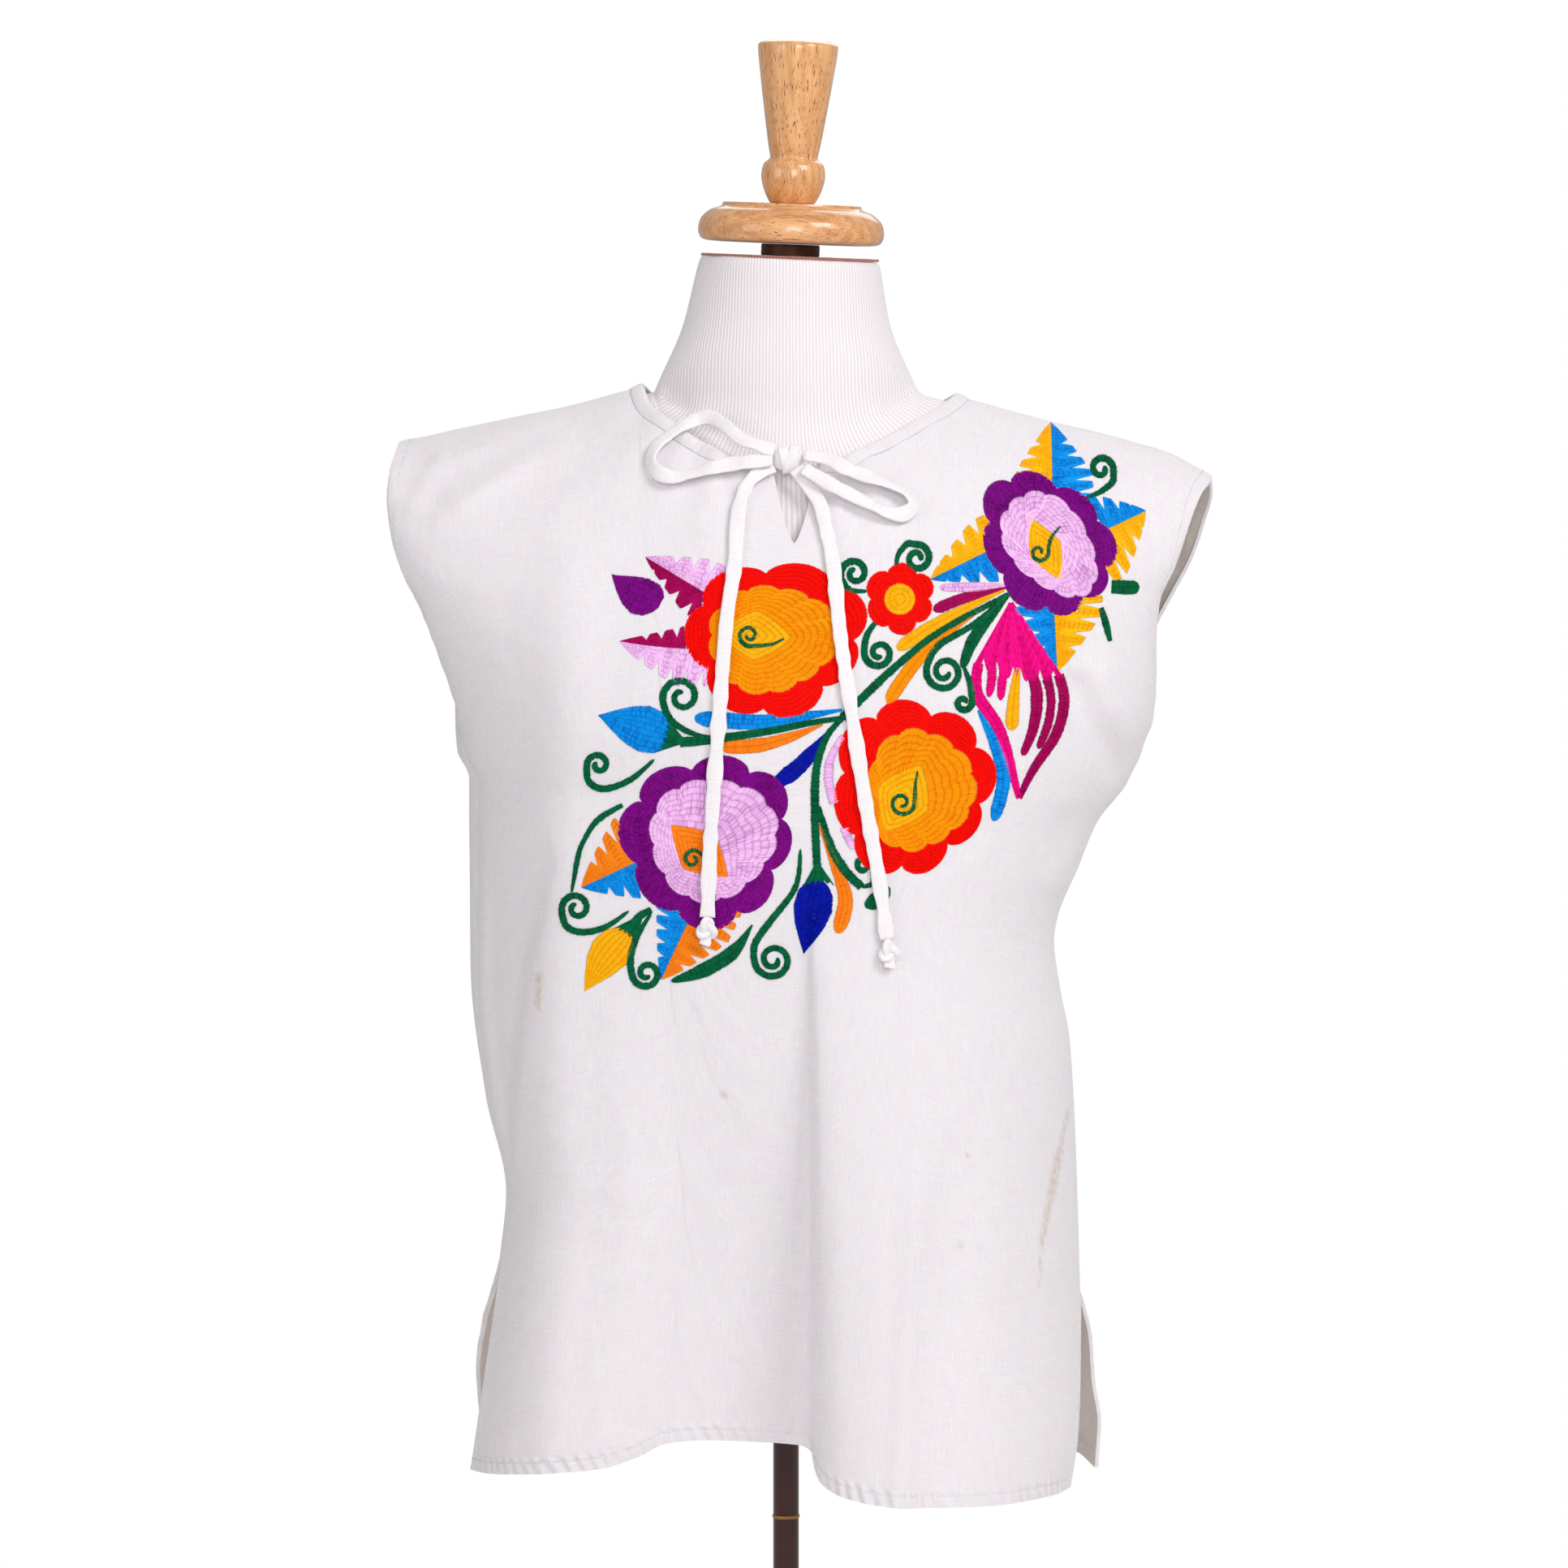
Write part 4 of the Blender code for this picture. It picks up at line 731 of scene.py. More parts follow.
def casing_rings():
    rng = np.random.default_rng(11)
    run = run_of(neck_line)
    drawn = np.sin(run / (5.2 * MM) * 2 * math.pi + np.cumsum(rng.normal(0, 0.22, len(run))))
    drawn *= 0.55 + 0.45 * np.sin(run / 0.037 + 1.0)
    rings = np.zeros((len(neck_line), len(CASING), 3))
    ahead = np.gradient(neck_line, axis=0)
    for _ in range(3):
        ahead[1:-1] = (ahead[:-2] + 2 * ahead[1:-1] + ahead[2:]) / 4
    for n, middle in enumerate(neck_line):
        spot = Vector(middle.tolist())
        away = Vector(ahead[n].tolist()).normalized().cross(skin.find_nearest(spot)[1]).normalized()
        if away.dot(spot - Vector((0.006, -0.005, spot.z + 0.03))) < 0:
            away = -away
        for k, (reach, lift) in enumerate(CASING):
            hit, normal, _, _ = skin.find_nearest(spot + away * max(reach, 0.0))
            arch = math.sin(math.pi * min(max(reach, 0) / (9.6 * MM), 1))
            puff = lift + (0.45 * MM * drawn[n] * arch if lift > 1 * MM else 0.0)
            ripple = 0.35 * MM * drawn[n] * (reach > 8 * MM)
            rings[n, k] = hit + normal * puff + away * (min(reach, 0.0) + ripple)
    return rings


casing = swept("neck_casing_cloth", casing_rings(), [COTTON])
print("casing faces:", len(casing.data.polygons))


# %% [markdown]
# ## The drawstring and its bow
# The drawstring is a flat tube of the same cotton, 9 mm wide. Its places on the chest are a
# table: x, z and how far the middle of the tube is lifted off the cloth. A smooth curve runs
# through them, each point of it is laid on the front by a ray cast straight back, and a flat
# rounded section is swept along. The tube rolls a little from side to side, as soft cloth does.

# %% Places of the bow and its tails
LOOP_LEFT = [
    (-0.0072, 1.3562, 0.0114), (-0.0190, 1.3600, 0.0129), (-0.0293, 1.3640, 0.0124),
    (-0.0385, 1.3715, 0.0109), (-0.0492, 1.3765, 0.0084), (-0.0600, 1.3735, 0.0069),
    (-0.0720, 1.3665, 0.0059), (-0.0815, 1.3590, 0.0055), (-0.0852, 1.3505, 0.0055),
    (-0.0815, 1.3430, 0.0059), (-0.0720, 1.3395, 0.0063), (-0.0600, 1.3415, 0.0065),
    (-0.0480, 1.3450, 0.0069), (-0.0350, 1.3475, 0.0077), (-0.0230, 1.3490, 0.0089),
    (-0.0084, 1.3504, 0.0107)]
LOOP_RIGHT = [
    (0.0113, 1.3533, 0.0104), (0.0267, 1.3505, 0.0103), (0.0395, 1.3440, 0.0091),
    (0.0512, 1.3400, 0.0079), (0.0655, 1.3345, 0.0069), (0.0765, 1.3290, 0.0059),
    (0.0800, 1.3215, 0.0054), (0.0735, 1.3165, 0.0051), (0.0640, 1.3175, 0.0053),
    (0.0540, 1.3220, 0.0059), (0.0400, 1.3290, 0.0074), (0.0267, 1.3360, 0.0099),
    (0.0107, 1.3452, 0.0115)]
TAIL_LEFT = [
    (-0.0078, 1.3465, 0.0060), (-0.0180, 1.3415, 0.0050), (-0.0255, 1.3325, 0.0036),
    (-0.0301, 1.3161, 0.0026), (-0.0322, 1.2847, 0.0026), (-0.0372, 1.2500, 0.0026),
    (-0.0424, 1.1822, 0.0026), (-0.0455, 1.1400, 0.0026), (-0.0475, 1.1058, 0.0026),
    (-0.0490, 1.0670, 0.0034)]
TAIL_RIGHT = [
    (0.0064, 1.3449, 0.0068), (0.0138, 1.3340, 0.0052), (0.0210, 1.3235, 0.0038),
    (0.0251, 1.3075, 0.0026), (0.0296, 1.2847, 0.0026), (0.0337, 1.2431, 0.0026),
    (0.0388, 1.2076, 0.0026), (0.0490, 1.1415, 0.0026), (0.0580, 1.0900, 0.0026),
    (0.0630, 1.0530, 0.0034)]
TIE_WIDE, TIE_THICK = 9.2 * MM, 2.592 * MM
BOW_KNOT = (0.0012, 1.3505, 0.0085)

NO_NECK = SimpleNamespace(**{**vars(FRONT), "neck": table("x z", (0.5, 1), (0.6, 1))})
whole_points, whole_quads, _, _ = joined(grid_of(NO_NECK, 110, np.array([])))
whole_skin = skin_of(whole_points, whole_quads)
print("the front without its neck hole has", len(whole_points), "points")


# %% Laying and sweeping the tube
def curve_through(marks, fine=12):
    """A smooth line through points of any dimension, by the Catmull-Rom rule."""
    marks = np.asarray(marks)
    padded = np.concatenate([marks[:1], marks, marks[-1:]])
    t = np.arange(fine)[:, None] / fine
    line = []
    for a, b, c, d in zip(padded, padded[1:], padded[2:], padded[3:]):
        a, b, c, d = (np.atleast_1d(v) for v in (a, b, c, d))
        line.append(0.5 * (2 * b + (c - a) * t + (2 * a - 5 * b + 4 * c - d) * t ** 2
                           + (3 * b - a - 3 * c + d) * t ** 3))
    return np.vstack([*line, np.atleast_1d(marks[-1])[None]])


def laid_path(lays, step):
    path = []
    for x, z, lift in curve_through(lays):
        hit, normal, _, _ = whole_skin.ray_cast(Vector((x, -1, z)), Vector((0, 1, 0)))
        path.append((x, hit.y - lift / max(0.5, abs(normal.y)), z))
    path = np.array(path)
    path[:, 1] = [path[max(n - 4, 0):n + 5, 1].mean() for n in range(len(path))]
    return resample(path, step)


def tube_rings(path, wide, thick, rolls, seed, sides=16, outward=None):
    rng = np.random.default_rng(seed)
    ahead = np.gradient(path, axis=0)
    ahead /= length_of(ahead)[:, None]
    run = run_of(path)
    roll = np.radians(np.interp(run / run[-1], np.linspace(0, 1, len(rolls)), rolls))
    knots = np.linspace(0, run[-1], max(int(run[-1] / 0.006), 4))
    dents = np.stack([np.interp(run, knots, rng.normal(0, 1, len(knots))) for _ in range(4)], -1)
    rings = np.zeros((len(path), sides, 3))
    for n, middle in enumerate(path):
        near = whole_skin.find_nearest(Vector(middle.tolist()))
        out = outward[n] if outward is not None else np.array(near[1])
        across = np.cross(ahead[n], out)
        across /= length_of(across)
        up = np.cross(across, ahead[n])
        across, up = (across * math.cos(roll[n]) + up * math.sin(roll[n]),
                      up * math.cos(roll[n]) - across * math.sin(roll[n]))
        angle = np.linspace(0, 2 * math.pi, sides, endpoint=False)
        flat = np.sign(np.cos(angle)) * abs(np.cos(angle)) ** 0.6
        high = np.sign(np.sin(angle)) * abs(np.sin(angle)) ** 0.8
        squeeze = 1 + 0.08 * dents[n, 0]
        sag = 1 + 0.10 * dents[n, 1] + 0.16 * dents[n, 2] * np.cos(angle) * 0.5
        rings[n] = (middle + across * (flat * wide / 2 * squeeze)[:, None]
                    + up * (high * thick / 2 * sag)[:, None])
    return rings


tie_paths = {}
ties = {}
for name, lays, rolls, seed in (
        ("tie_loop_left", LOOP_LEFT, (0, 14, 34, -12, -48, 20, -14, 0), 21),
        ("tie_loop_right", LOOP_RIGHT, (0, -20, 24, 44, -26, 14, 0), 22),
        ("tie_tail_left", TAIL_LEFT, (8, 0, 4, -5, 3, -3, 5, 0), 23),
        ("tie_tail_right", TAIL_RIGHT, (-8, 0, -4, 6, -3, 4, -4, 0), 24)):
    tie_paths[name] = laid_path(lays, 2.0 * MM)
    tube = tube_rings(tie_paths[name], TIE_WIDE, TIE_THICK, rolls, seed)
    ties[name] = swept(name + "_cloth", tube, [COTTON_DOUBLE])
    print(name, "is", round(float(run_of(tie_paths[name])[-1]), 3), "m long")


# %% [markdown]
# The bow's knot is a firm bundle with two turns of the tube wrapped over it. Each tail ends in an
# overhand knot. A trefoil curve has the same crossings, so a thin tube along a trefoil makes a
# knot that looks tied from every side, with a short end below it.

# %% Knots
def bundle(middle, sizes, seed):
    """A puckered lump of cloth."""
    rng = np.random.default_rng(seed)
    lat = np.linspace(0.05, math.pi - 0.05, 22)[:, None]
    lon = np.linspace(0, 2 * math.pi, 40, endpoint=False)
    ball = stack(np.cos(lat), np.sin(lat) * np.cos(lon), np.sin(lat) * np.sin(lon))
    crush = (1 + 0.05 * np.sin(3 * lon + 1.2 * rng.random()) * np.sin(lat) + 0.05 * np.sin(5 * lat + 2))
    return np.asarray(middle) + ball * crush[..., None] * np.asarray(sizes)


spot = whole_skin.find_nearest(Vector((BOW_KNOT[0], -0.075, BOW_KNOT[1])))[0]
knot_middle = np.array((BOW_KNOT[0], spot.y - BOW_KNOT[2], BOW_KNOT[1]))
knot_lump = bundle(knot_middle, (9.6 * MM, 4.6 * MM, 7.4 * MM), 31)
knot_core = swept("bow_knot_core", knot_lump, [COTTON_DOUBLE])
angle = np.linspace(-0.55 * math.pi, 0.55 * math.pi, 40)
outward = np.stack([angle * 0, -np.cos(angle), np.sin(angle)], -1)
knot_wraps = []
for name, over, shift, lean, rolls in (("bow_knot_wrap", 1.0, -1.4, -1.9, (8, -4, 4)),
                                       ("bow_knot_turn", 1.12, 2.2, 2.4, (-8, 8, -10))):
    wrap = knot_middle + np.stack([(shift + lean * np.sin(angle)) * MM, -4.3 * over * MM * np.cos(angle),
                                   7.4 * over * MM * np.sin(angle)], -1)
    tube = tube_rings(wrap, 6.8 * MM, 1.9 * MM, rolls, 32, outward=outward)
    knot_wraps.append(swept(name, tube, [COTTON_DOUBLE]))

tail_knots = {}
for side in ("left", "right"):
    path = tie_paths["tie_tail_" + side]
    along = path[-1] - path[-4]
    along /= length_of(along)
    spot, normal, _, _ = whole_skin.find_nearest(Vector((path[-1] + along * 7.5 * MM).tolist()))
    normal = np.array(normal)
    across = np.cross(along, normal)
    t = np.linspace(0, 2 * math.pi, 73)
    t[-1] = 0.0
    centre = np.array(spot) + normal * 4.3 * MM
    trefoil = (centre + across * (np.sin(t) + 2 * np.sin(2 * t))[:, None] * 1.75 * MM
               + along * (np.cos(t) - 2 * np.cos(2 * t))[:, None] * 1.95 * MM
               - normal * np.sin(3 * t)[:, None] * 1.35 * MM)
    level_out = np.tile(normal, (len(trefoil), 1))
    tube = tube_rings(trefoil, 4.6 * MM, 3.6 * MM, (0, 40, -30, 20, 0), 33, outward=level_out)
    knot = swept("tail_knot_" + side + "_cloth", tube, [COTTON_DOUBLE])
    down, aside = np.linspace(3.0, 10.2, 8) * MM, np.linspace(0, 1.6, 8) ** 2 * MM * 0.5
    stub_line = centre + np.outer(down, along) + np.outer(aside, across)
    tube = tube_rings(stub_line, 6.4 * MM, 2.6 * MM, (20, -10), 34, outward=level_out[:8])
    stub = swept("tail_end_" + side, tube, [COTTON_DOUBLE])
    tail_knots[side] = (knot, stub)
print("knots:", knot_core.name, [wrap.name for wrap in knot_wraps], sorted(tail_knots))


# %% [markdown]
# ## The dress form
# The form is padded and covered with ribbed jersey, a knit whose fine ribs run straight up the
# neck, about 1.5 mm apart and drawn 2.4 mm apart here to show. The packed solid has the true
# shape in a few flat faces. A copy of it, with its doubled corners merged and a Subdivision
# Surface, gives the stretched look of jersey over padding. The ribs are a wave that counts metres
# around the neck. One band of a Wave texture at scale 1 is pi / 10 wide.

# %% The jersey and the form's skin
RIB, NECK_RADIUS = 2.4 * MM, 0.062


def jersey():
    made, tree, shader = new_material("ribbed_jersey", roughness=0.92, specular_ior_level=0.2,
                                      sheen_weight=0.3, sheen_roughness=0.6)
    around = add_node(tree, "ShaderNodeUVMap", uv_map="cut")
    ribs = add_node(tree, "ShaderNodeTexWave",
                    {"Vector": around, "Scale": math.pi / 10 / RIB, "Distortion": 0.4, "Detail": 1.0},
                    wave_type="BANDS", bands_direction="X")
    speck = add_node(tree, "ShaderNodeTexNoise", {"Vector": around, "Scale": 900.0, "Detail": 2.0})
    knit = add_node(tree, "ShaderNodeMix", {0: 0.35, 6: ribs, 7: speck.outputs["Color"]}, data_type="RGBA")
    knit = knit.outputs[2]
    # Painted shade: the darker colour lies in the grooves between the ribs, and the specks mixed into it are
    # random tone.
    shade = add_node(tree, "ShaderNodeMix", {0: knit, 6: linear("DAD1D4"), 7: linear("FAF5F7")},
                     data_type="RGBA")
    relief = add_node(tree, "ShaderNodeBump", {"Height": knit, "Strength": 0.8, "Distance": 0.35 * MM})
    dress(tree, shader, shade.outputs[2], relief)
    return made


def merged_copy(node, name, material, levels):
    """A finer copy of a packed solid: doubles merged, triangles paired, subdivided and made plain."""
    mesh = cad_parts[node].data.copy()
    mesh.materials.clear()
    body = bmesh.new()
    body.from_mesh(mesh)
    bmesh.ops.remove_doubles(body, verts=body.verts, dist=0.00002)
    bmesh.ops.join_triangles(body, faces=body.faces, angle_face_threshold=0.6, angle_shape_threshold=1.2)
    crease = body.edges.layers.float.new("crease_edge")
    for face in body.faces:
        face.smooth = True
    for side in body.edges:
        if side.calc_face_angle(0.0) > 0.9:
            side[crease] = 1.0
    body.to_mesh(mesh)
    body.free()
    draft = show(bpy.data.objects.new(name + "_draft", mesh))
    finer = draft.modifiers.new("finer", "SUBSURF")
    finer.levels = finer.render_levels = levels
    plain_mesh = baked(draft)
    plain_mesh.materials.clear()
    plain_mesh.materials.append(material)
    return show(bpy.data.objects.new(name, plain_mesh))


def wrap_uv(thing, radius):
    """A UV map in metres around the upright axis and up it, with its seam at the back."""
    mesh = thing.data
    places = np.empty(len(mesh.vertices) * 3)
    mesh.vertices.foreach_get("co", places)
    places = places.reshape(-1, 3)
    corners = np.empty(len(mesh.loops), np.int32)
    mesh.loops.foreach_get("vertex_index", corners)
    angle = np.arctan2(places[:, 0], -places[:, 1])[corners]
    starts = np.empty(len(mesh.polygons), np.int32)
    mesh.polygons.foreach_get("loop_start", starts)
    owner = np.repeat(np.arange(len(starts)), np.diff(np.r_[starts, len(corners)]))
    highest = np.maximum.reduceat(angle, starts)
    crossing = (highest - np.minimum.reduceat(angle, starts)) > math.pi
    angle = np.where(crossing[owner] & (angle < 0), angle + 2 * math.pi, angle)
    layer = mesh.uv_layers.new(name="cut")
    wrapped = np.stack([angle * radius, places[corners, 2]], -1).astype(np.float32)
    layer.uv.foreach_set("vector", wrapped.ravel())


form = merged_copy("form_body", "form_jersey", jersey(), 2)
wrap_uv(form, NECK_RADIUS)
print("form faces:", len(form.data.polygons))


# %% [markdown]
# ## Turned wood, steel and brass
# The cap and the finial are turned from a pale hardwood and varnished, so the long pores of the
# wood show as short brown flecks along the grain, under a gloss. A turned piece is one profile
# spun around its axis: the rings of the packed solid give the profile, a smooth curve through
# them the finer shape.

# %% Wood, lacquer and metal
PORES_ACROSS, PORES_ALONG = 850.0, 55.0    # a metre, before the scale of each noise


def varnished_wood(name, grain_along, light, dark):
    made, tree, shader = new_material(name, roughness=0.28, specular_ior_level=0.5, coat_weight=0.5,
                                      coat_roughness=0.08)
    place = add_node(tree, "ShaderNodeTexCoord").outputs["Object"]
    pores = [PORES_ACROSS] * 3
    pores[grain_along] = PORES_ALONG
    fine = add_node(tree, "ShaderNodeMapping", {"Vector": place, "Scale": pores})
    broad = add_node(tree, "ShaderNodeMapping", {"Vector": place, "Scale": [p / 4 for p in pores]})
    bands = add_node(tree, "ShaderNodeTexNoise", {"Vector": broad, "Scale": 1.0, "Detail": 4.0})
    flecks = add_node(tree, "ShaderNodeTexNoise", {"Vector": fine, "Scale": 1.6, "Detail": 1.0})
    spread = add_node(tree, "ShaderNodeMapRange", {"Value": bands, "From Min": 0.35, "From Max": 0.65})
    few = add_node(tree, "ShaderNodeMapRange", {"Value": flecks, "From Min": 0.60, "From Max": 0.70})
    wood = add_node(tree, "ShaderNodeMix", {0: spread, 6: linear(light), 7: linear(dark)}, data_type="RGBA")
    flecked = add_node(tree, "ShaderNodeMix", {0: few, 6: wood.outputs[2], 7: linear("96582E")},
                       data_type="RGBA")
    relief = add_node(tree, "ShaderNodeBump", {"Height": flecks, "Strength": 0.06, "Distance": 0.2 * MM})
    dress(tree, shader, flecked.outputs[2], relief)
    return made


def worn_finish(name, light, dark, scale, **sockets):
    """A painted or metal finish whose colour varies softly with the handling it has had."""
    made, tree, shader = new_material(name, **sockets)
    place = add_node(tree, "ShaderNodeTexCoord").outputs["Object"]
    clouds = add_node(tree, "ShaderNodeTexNoise", {"Vector": place, "Scale": scale, "Detail": 5.0})
    mixed = add_node(tree, "ShaderNodeMix", {0: clouds, 6: linear(dark), 7: linear(light)}, data_type="RGBA")
    relief = add_node(tree, "ShaderNodeBump", {"Height": clouds, "Strength": 0.08, "Distance": 0.3 * MM})
    dress(tree, shader, mixed.outputs[2], relief)
    return made


BEECH_FLAT = varnished_wood("varnished_beech_flat", 0, "EBB07A", "D0915A")
BEECH_UP = varnished_wood("varnished_beech_upright", 2, "EDB47E", "D69A60")
STEEL = worn_finish("bronzed_steel", "6E4838", "40271D", 60.0, metallic=0.7, roughness=0.5)
MAHOGANY = worn_finish("lacquered_mahogany", "4A0D0C", "240505", 35.0, roughness=0.22, coat_weight=0.6,
                       coat_roughness=0.06)
BRASS = worn_finish("polished_brass", "C79A6A", "8E6038", 80.0, metallic=0.9, roughness=0.3)
print("finishes:", BEECH_FLAT.name, BEECH_UP.name, STEEL.name, MAHOGANY.name, BRASS.name)


# %% Turned pieces
def turned(node, name, material, place, fine):
    inverse = place.inverted()
    rings = {}
    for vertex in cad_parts[node].data.vertices:
        spot = inverse @ vertex.co
        height = round(spot.z, 5)
        rings[height] = max(rings.get(height, 0.0), math.hypot(spot.x, spot.y))
    profile = np.array(sorted(rings.items()))
    if fine:
        profile = curve_through(profile, fine)
        profile[:, 0] = np.clip(np.maximum.accumulate(profile[:, 0]), min(rings), max(rings))
        profile = profile[np.r_[True, np.diff(profile[:, 0]) > 1e-6]]
    angle = np.linspace(0, 2 * math.pi, 96, endpoint=False)
    rings = np.stack([stack(np.cos(angle) * r, np.sin(angle) * r, z) for z, r in profile])
    flat = np.array(place)
    rings = rings @ flat[:3, :3].T + flat[:3, 3]
    made = swept(name, rings, [material])
    made.data.set_sharp_from_angle(angle=math.radians(38))
    return made


CAP = Matrix.Translation((0.0026, 0.0, 1.4775)) @ Matrix.Rotation(math.radians(2.2), 4, "Y")
FLOOR_UP = Matrix()
turned_pieces = {}
for node, name, material, place, fine in (
        ("cap_disc", "cap_disc_turned", BEECH_FLAT, CAP, 5), ("finial", "finial_turned", BEECH_UP, CAP, 5),
        ("cap_stem", "cap_stem_steel", STEEL, CAP, 0),
        ("pole_upper", "pole_upper_tube", MAHOGANY, FLOOR_UP, 0),
        ("pole_collar", "pole_collar_ring", BRASS, FLOOR_UP, 0),
        ("pole_lower", "pole_lower_tube", MAHOGANY, FLOOR_UP, 0),
        ("base", "base_turned", MAHOGANY, FLOOR_UP, 5)):
    turned_pieces[node] = turned(node, name, material, place, fine)
print("turned:", sorted(turned_pieces))


# %% A thin brownish line around the rim of the neck, tilted as the cap is: the painted shadow of the wooden cap, tinted by the colour its wood reflects
# Painted shade: the brownish line stands for the cap's shadow on the rim, tinted by the colour its wood
# reflects.
CAP_SHADOW_LINE = woven("painted_cap_shadow_line", "B07A72", "945E56")
RIM_HALVES, RIM_MIDDLE = (0.0565, 0.0549, 0), (0, 0.00125, -0.0004)
turn = np.linspace(0.5, 2.5, 97) * math.pi
outward = stack(np.cos(turn), np.sin(turn), 0.0)
rim = np.array([CAP @ Vector(spot) for spot in outward * RIM_HALVES + RIM_MIDDLE])
rim_painted_shadow = swept("neck_rim_painted_shadow", tube_rings(rim, 1.6 * MM, 1.0 * MM, (0, 0), 35, 10, outward), [CAP_SHADOW_LINE])
# The length of the painted shadow line.
print("painted shadow line around the rim:", round(float(run_of(rim)[-1]), 3), "m")


# %% [markdown]
# ## Satin stitch
# The flowers are filled with satin stitch: rows about 4 mm high, each made of threads laid side
# by side across the row. Real threads lie about 0.4 mm apart. Here they lie 0.8 mm apart, as
# coarse as they must be to show. A stitch is one small bead stretched along its thread, and
# Geometry Nodes set a copy on every point of a cloud. The points carry the stitch's direction
# and the cloth's normal as attributes.

# %% One tree that sews on every point
def stitch_tree():
    tree = bpy.data.node_groups.new("sew_satin", "GeometryNodeTree")
    for name, kind in (("Points", "NodeSocketGeometry"), ("Thread Width", "NodeSocketFloat"),
                       ("Thread Height", "NodeSocketFloat"), ("Overlap", "NodeSocketFloat"),
                       ("Seed", "NodeSocketInt"), ("Thread", "NodeSocketMaterial")):
        tree.interface.new_socket(name, in_out="INPUT", socket_type=kind)
    tree.interface.new_socket("Stitches", in_out="OUTPUT", socket_type="NodeSocketGeometry")
    given = add_node(tree, "NodeGroupInput").outputs
    along, out = (add_node(tree, "GeometryNodeInputNamedAttribute", {"Name": name},
                           data_type="FLOAT_VECTOR").outputs[0] for name in ("along", "out"))
    size = add_node(tree, "ShaderNodeVectorMath", {0: along}, operation="LENGTH").outputs["Value"]
    reach = add_node(tree, "ShaderNodeMath", {0: size, 1: given["Overlap"]}, operation="MULTIPLY")
    turn = add_node(tree, "FunctionNodeAxesToRotation", {"Primary Axis": along, "Secondary Axis": out},
                    primary_axis="Z", secondary_axis="X")
    scale = add_node(tree, "ShaderNodeCombineXYZ",
                     {"X": given["Thread Height"], "Y": given["Thread Width"], "Z": reach})
    rod = add_node(tree, "GeometryNodeMeshCylinder",
                   {"Vertices": 4, "Side Segments": 2, "Radius": 0.5, "Depth": 1.0}, fill_type="NONE")
    place = add_node(tree, "GeometryNodeInputPosition")
    high = add_node(tree, "ShaderNodeSeparateXYZ", {0: place}).outputs["Z"]
    far = add_node(tree, "ShaderNodeMath", {0: high}, operation="ABSOLUTE")
    slim = add_node(tree, "ShaderNodeMapRange", {"Value": far, "From Max": 0.5, "To Min": 1.0, "To Max": 0.7})
    draw_in = add_node(tree, "ShaderNodeCombineXYZ", {"X": slim, "Y": slim, "Z": 1.0})
    moved = add_node(tree, "ShaderNodeVectorMath", {0: place, 1: draw_in}, operation="MULTIPLY")
    slimmer = add_node(tree, "GeometryNodeSetPosition", {"Geometry": rod, "Position": moved})
    # Painted shade: 0 in the middle of a stitch and 1 at its ends, stored for the thread to darken by.
    depth = add_node(tree, "ShaderNodeMath", {0: far, 1: 2.0}, operation="MULTIPLY")
    bead = add_node(tree, "GeometryNodeStoreNamedAttribute",
                    {"Geometry": slimmer, "Name": "end_shade", "Value": depth}, data_type="FLOAT", domain="POINT")
    sewn = add_node(tree, "GeometryNodeInstanceOnPoints", {
        "Points": given["Points"], "Instance": bead, "Rotation": turn, "Scale": scale})
    chance = add_node(tree, "FunctionNodeRandomValue", {"Seed": given["Seed"]}, data_type="FLOAT")
    toned = add_node(tree, "GeometryNodeStoreNamedAttribute", {
        "Geometry": sewn, "Name": "tone", "Value": chance.outputs[1]}, data_type="FLOAT", domain="INSTANCE")
    real = add_node(tree, "GeometryNodeRealizeInstances", {"Geometry": toned})
    soft = add_node(tree, "GeometryNodeSetShadeSmooth", {"Geometry": real, "Shade Smooth": True})
    dyed = add_node(tree, "GeometryNodeSetMaterial", {"Geometry": soft, "Material": given["Thread"]})
    add_node(tree, "NodeGroupOutput", {"Stitches": dyed})
    return tree


SEW = stitch_tree()
SOCKETS = {item.name: item.identifier for item in SEW.interface.items_tree if item.in_out == "INPUT"}
print("tree inputs:", sorted(SOCKETS))


# %% Sewing a cloud of stitches into a plain mesh
def lifted(places, skin, lift):
    """Points brought onto the skin and lifted off it, and the skin's normals there."""
    moved, out = np.zeros_like(places), np.zeros_like(places)
    for n, spot in enumerate(places.tolist()):
        hit, normal, _, _ = skin.find_nearest(Vector(spot))
        moved[n], out[n] = hit + normal * lift, normal
    return moved, out


def sewn(name, starts, ends, skin, thread, wide, high, overlap, seed, lift):
    """Stitches between matching 3-D points, laid on the skin, as one mesh."""
    middle, out = lifted((starts + ends) / 2, skin, lift)
    cloud = bpy.data.meshes.new(name + "_points")
    cloud.from_pydata(middle.tolist(), [], [])
    for attribute, values in (("along", ends - starts), ("out", out)):
        cloud.attributes.new(attribute, "FLOAT_VECTOR", "POINT").data.foreach_set(
            "vector", values.astype(np.float32).ravel())
    draft = show(bpy.data.objects.new(name + "_draft", cloud))
    sewing = draft.modifiers.new("sewing", "NODES")
    sewing.node_group = SEW
    for socket, value in (("Thread Width", wide), ("Thread Height", high), ("Overlap", overlap),
                          ("Seed", seed), ("Thread", thread)):
        sewing[SOCKETS[socket]] = value
    mesh = baked(draft)
    mesh.name = name
    return show(bpy.data.objects.new(name, mesh))


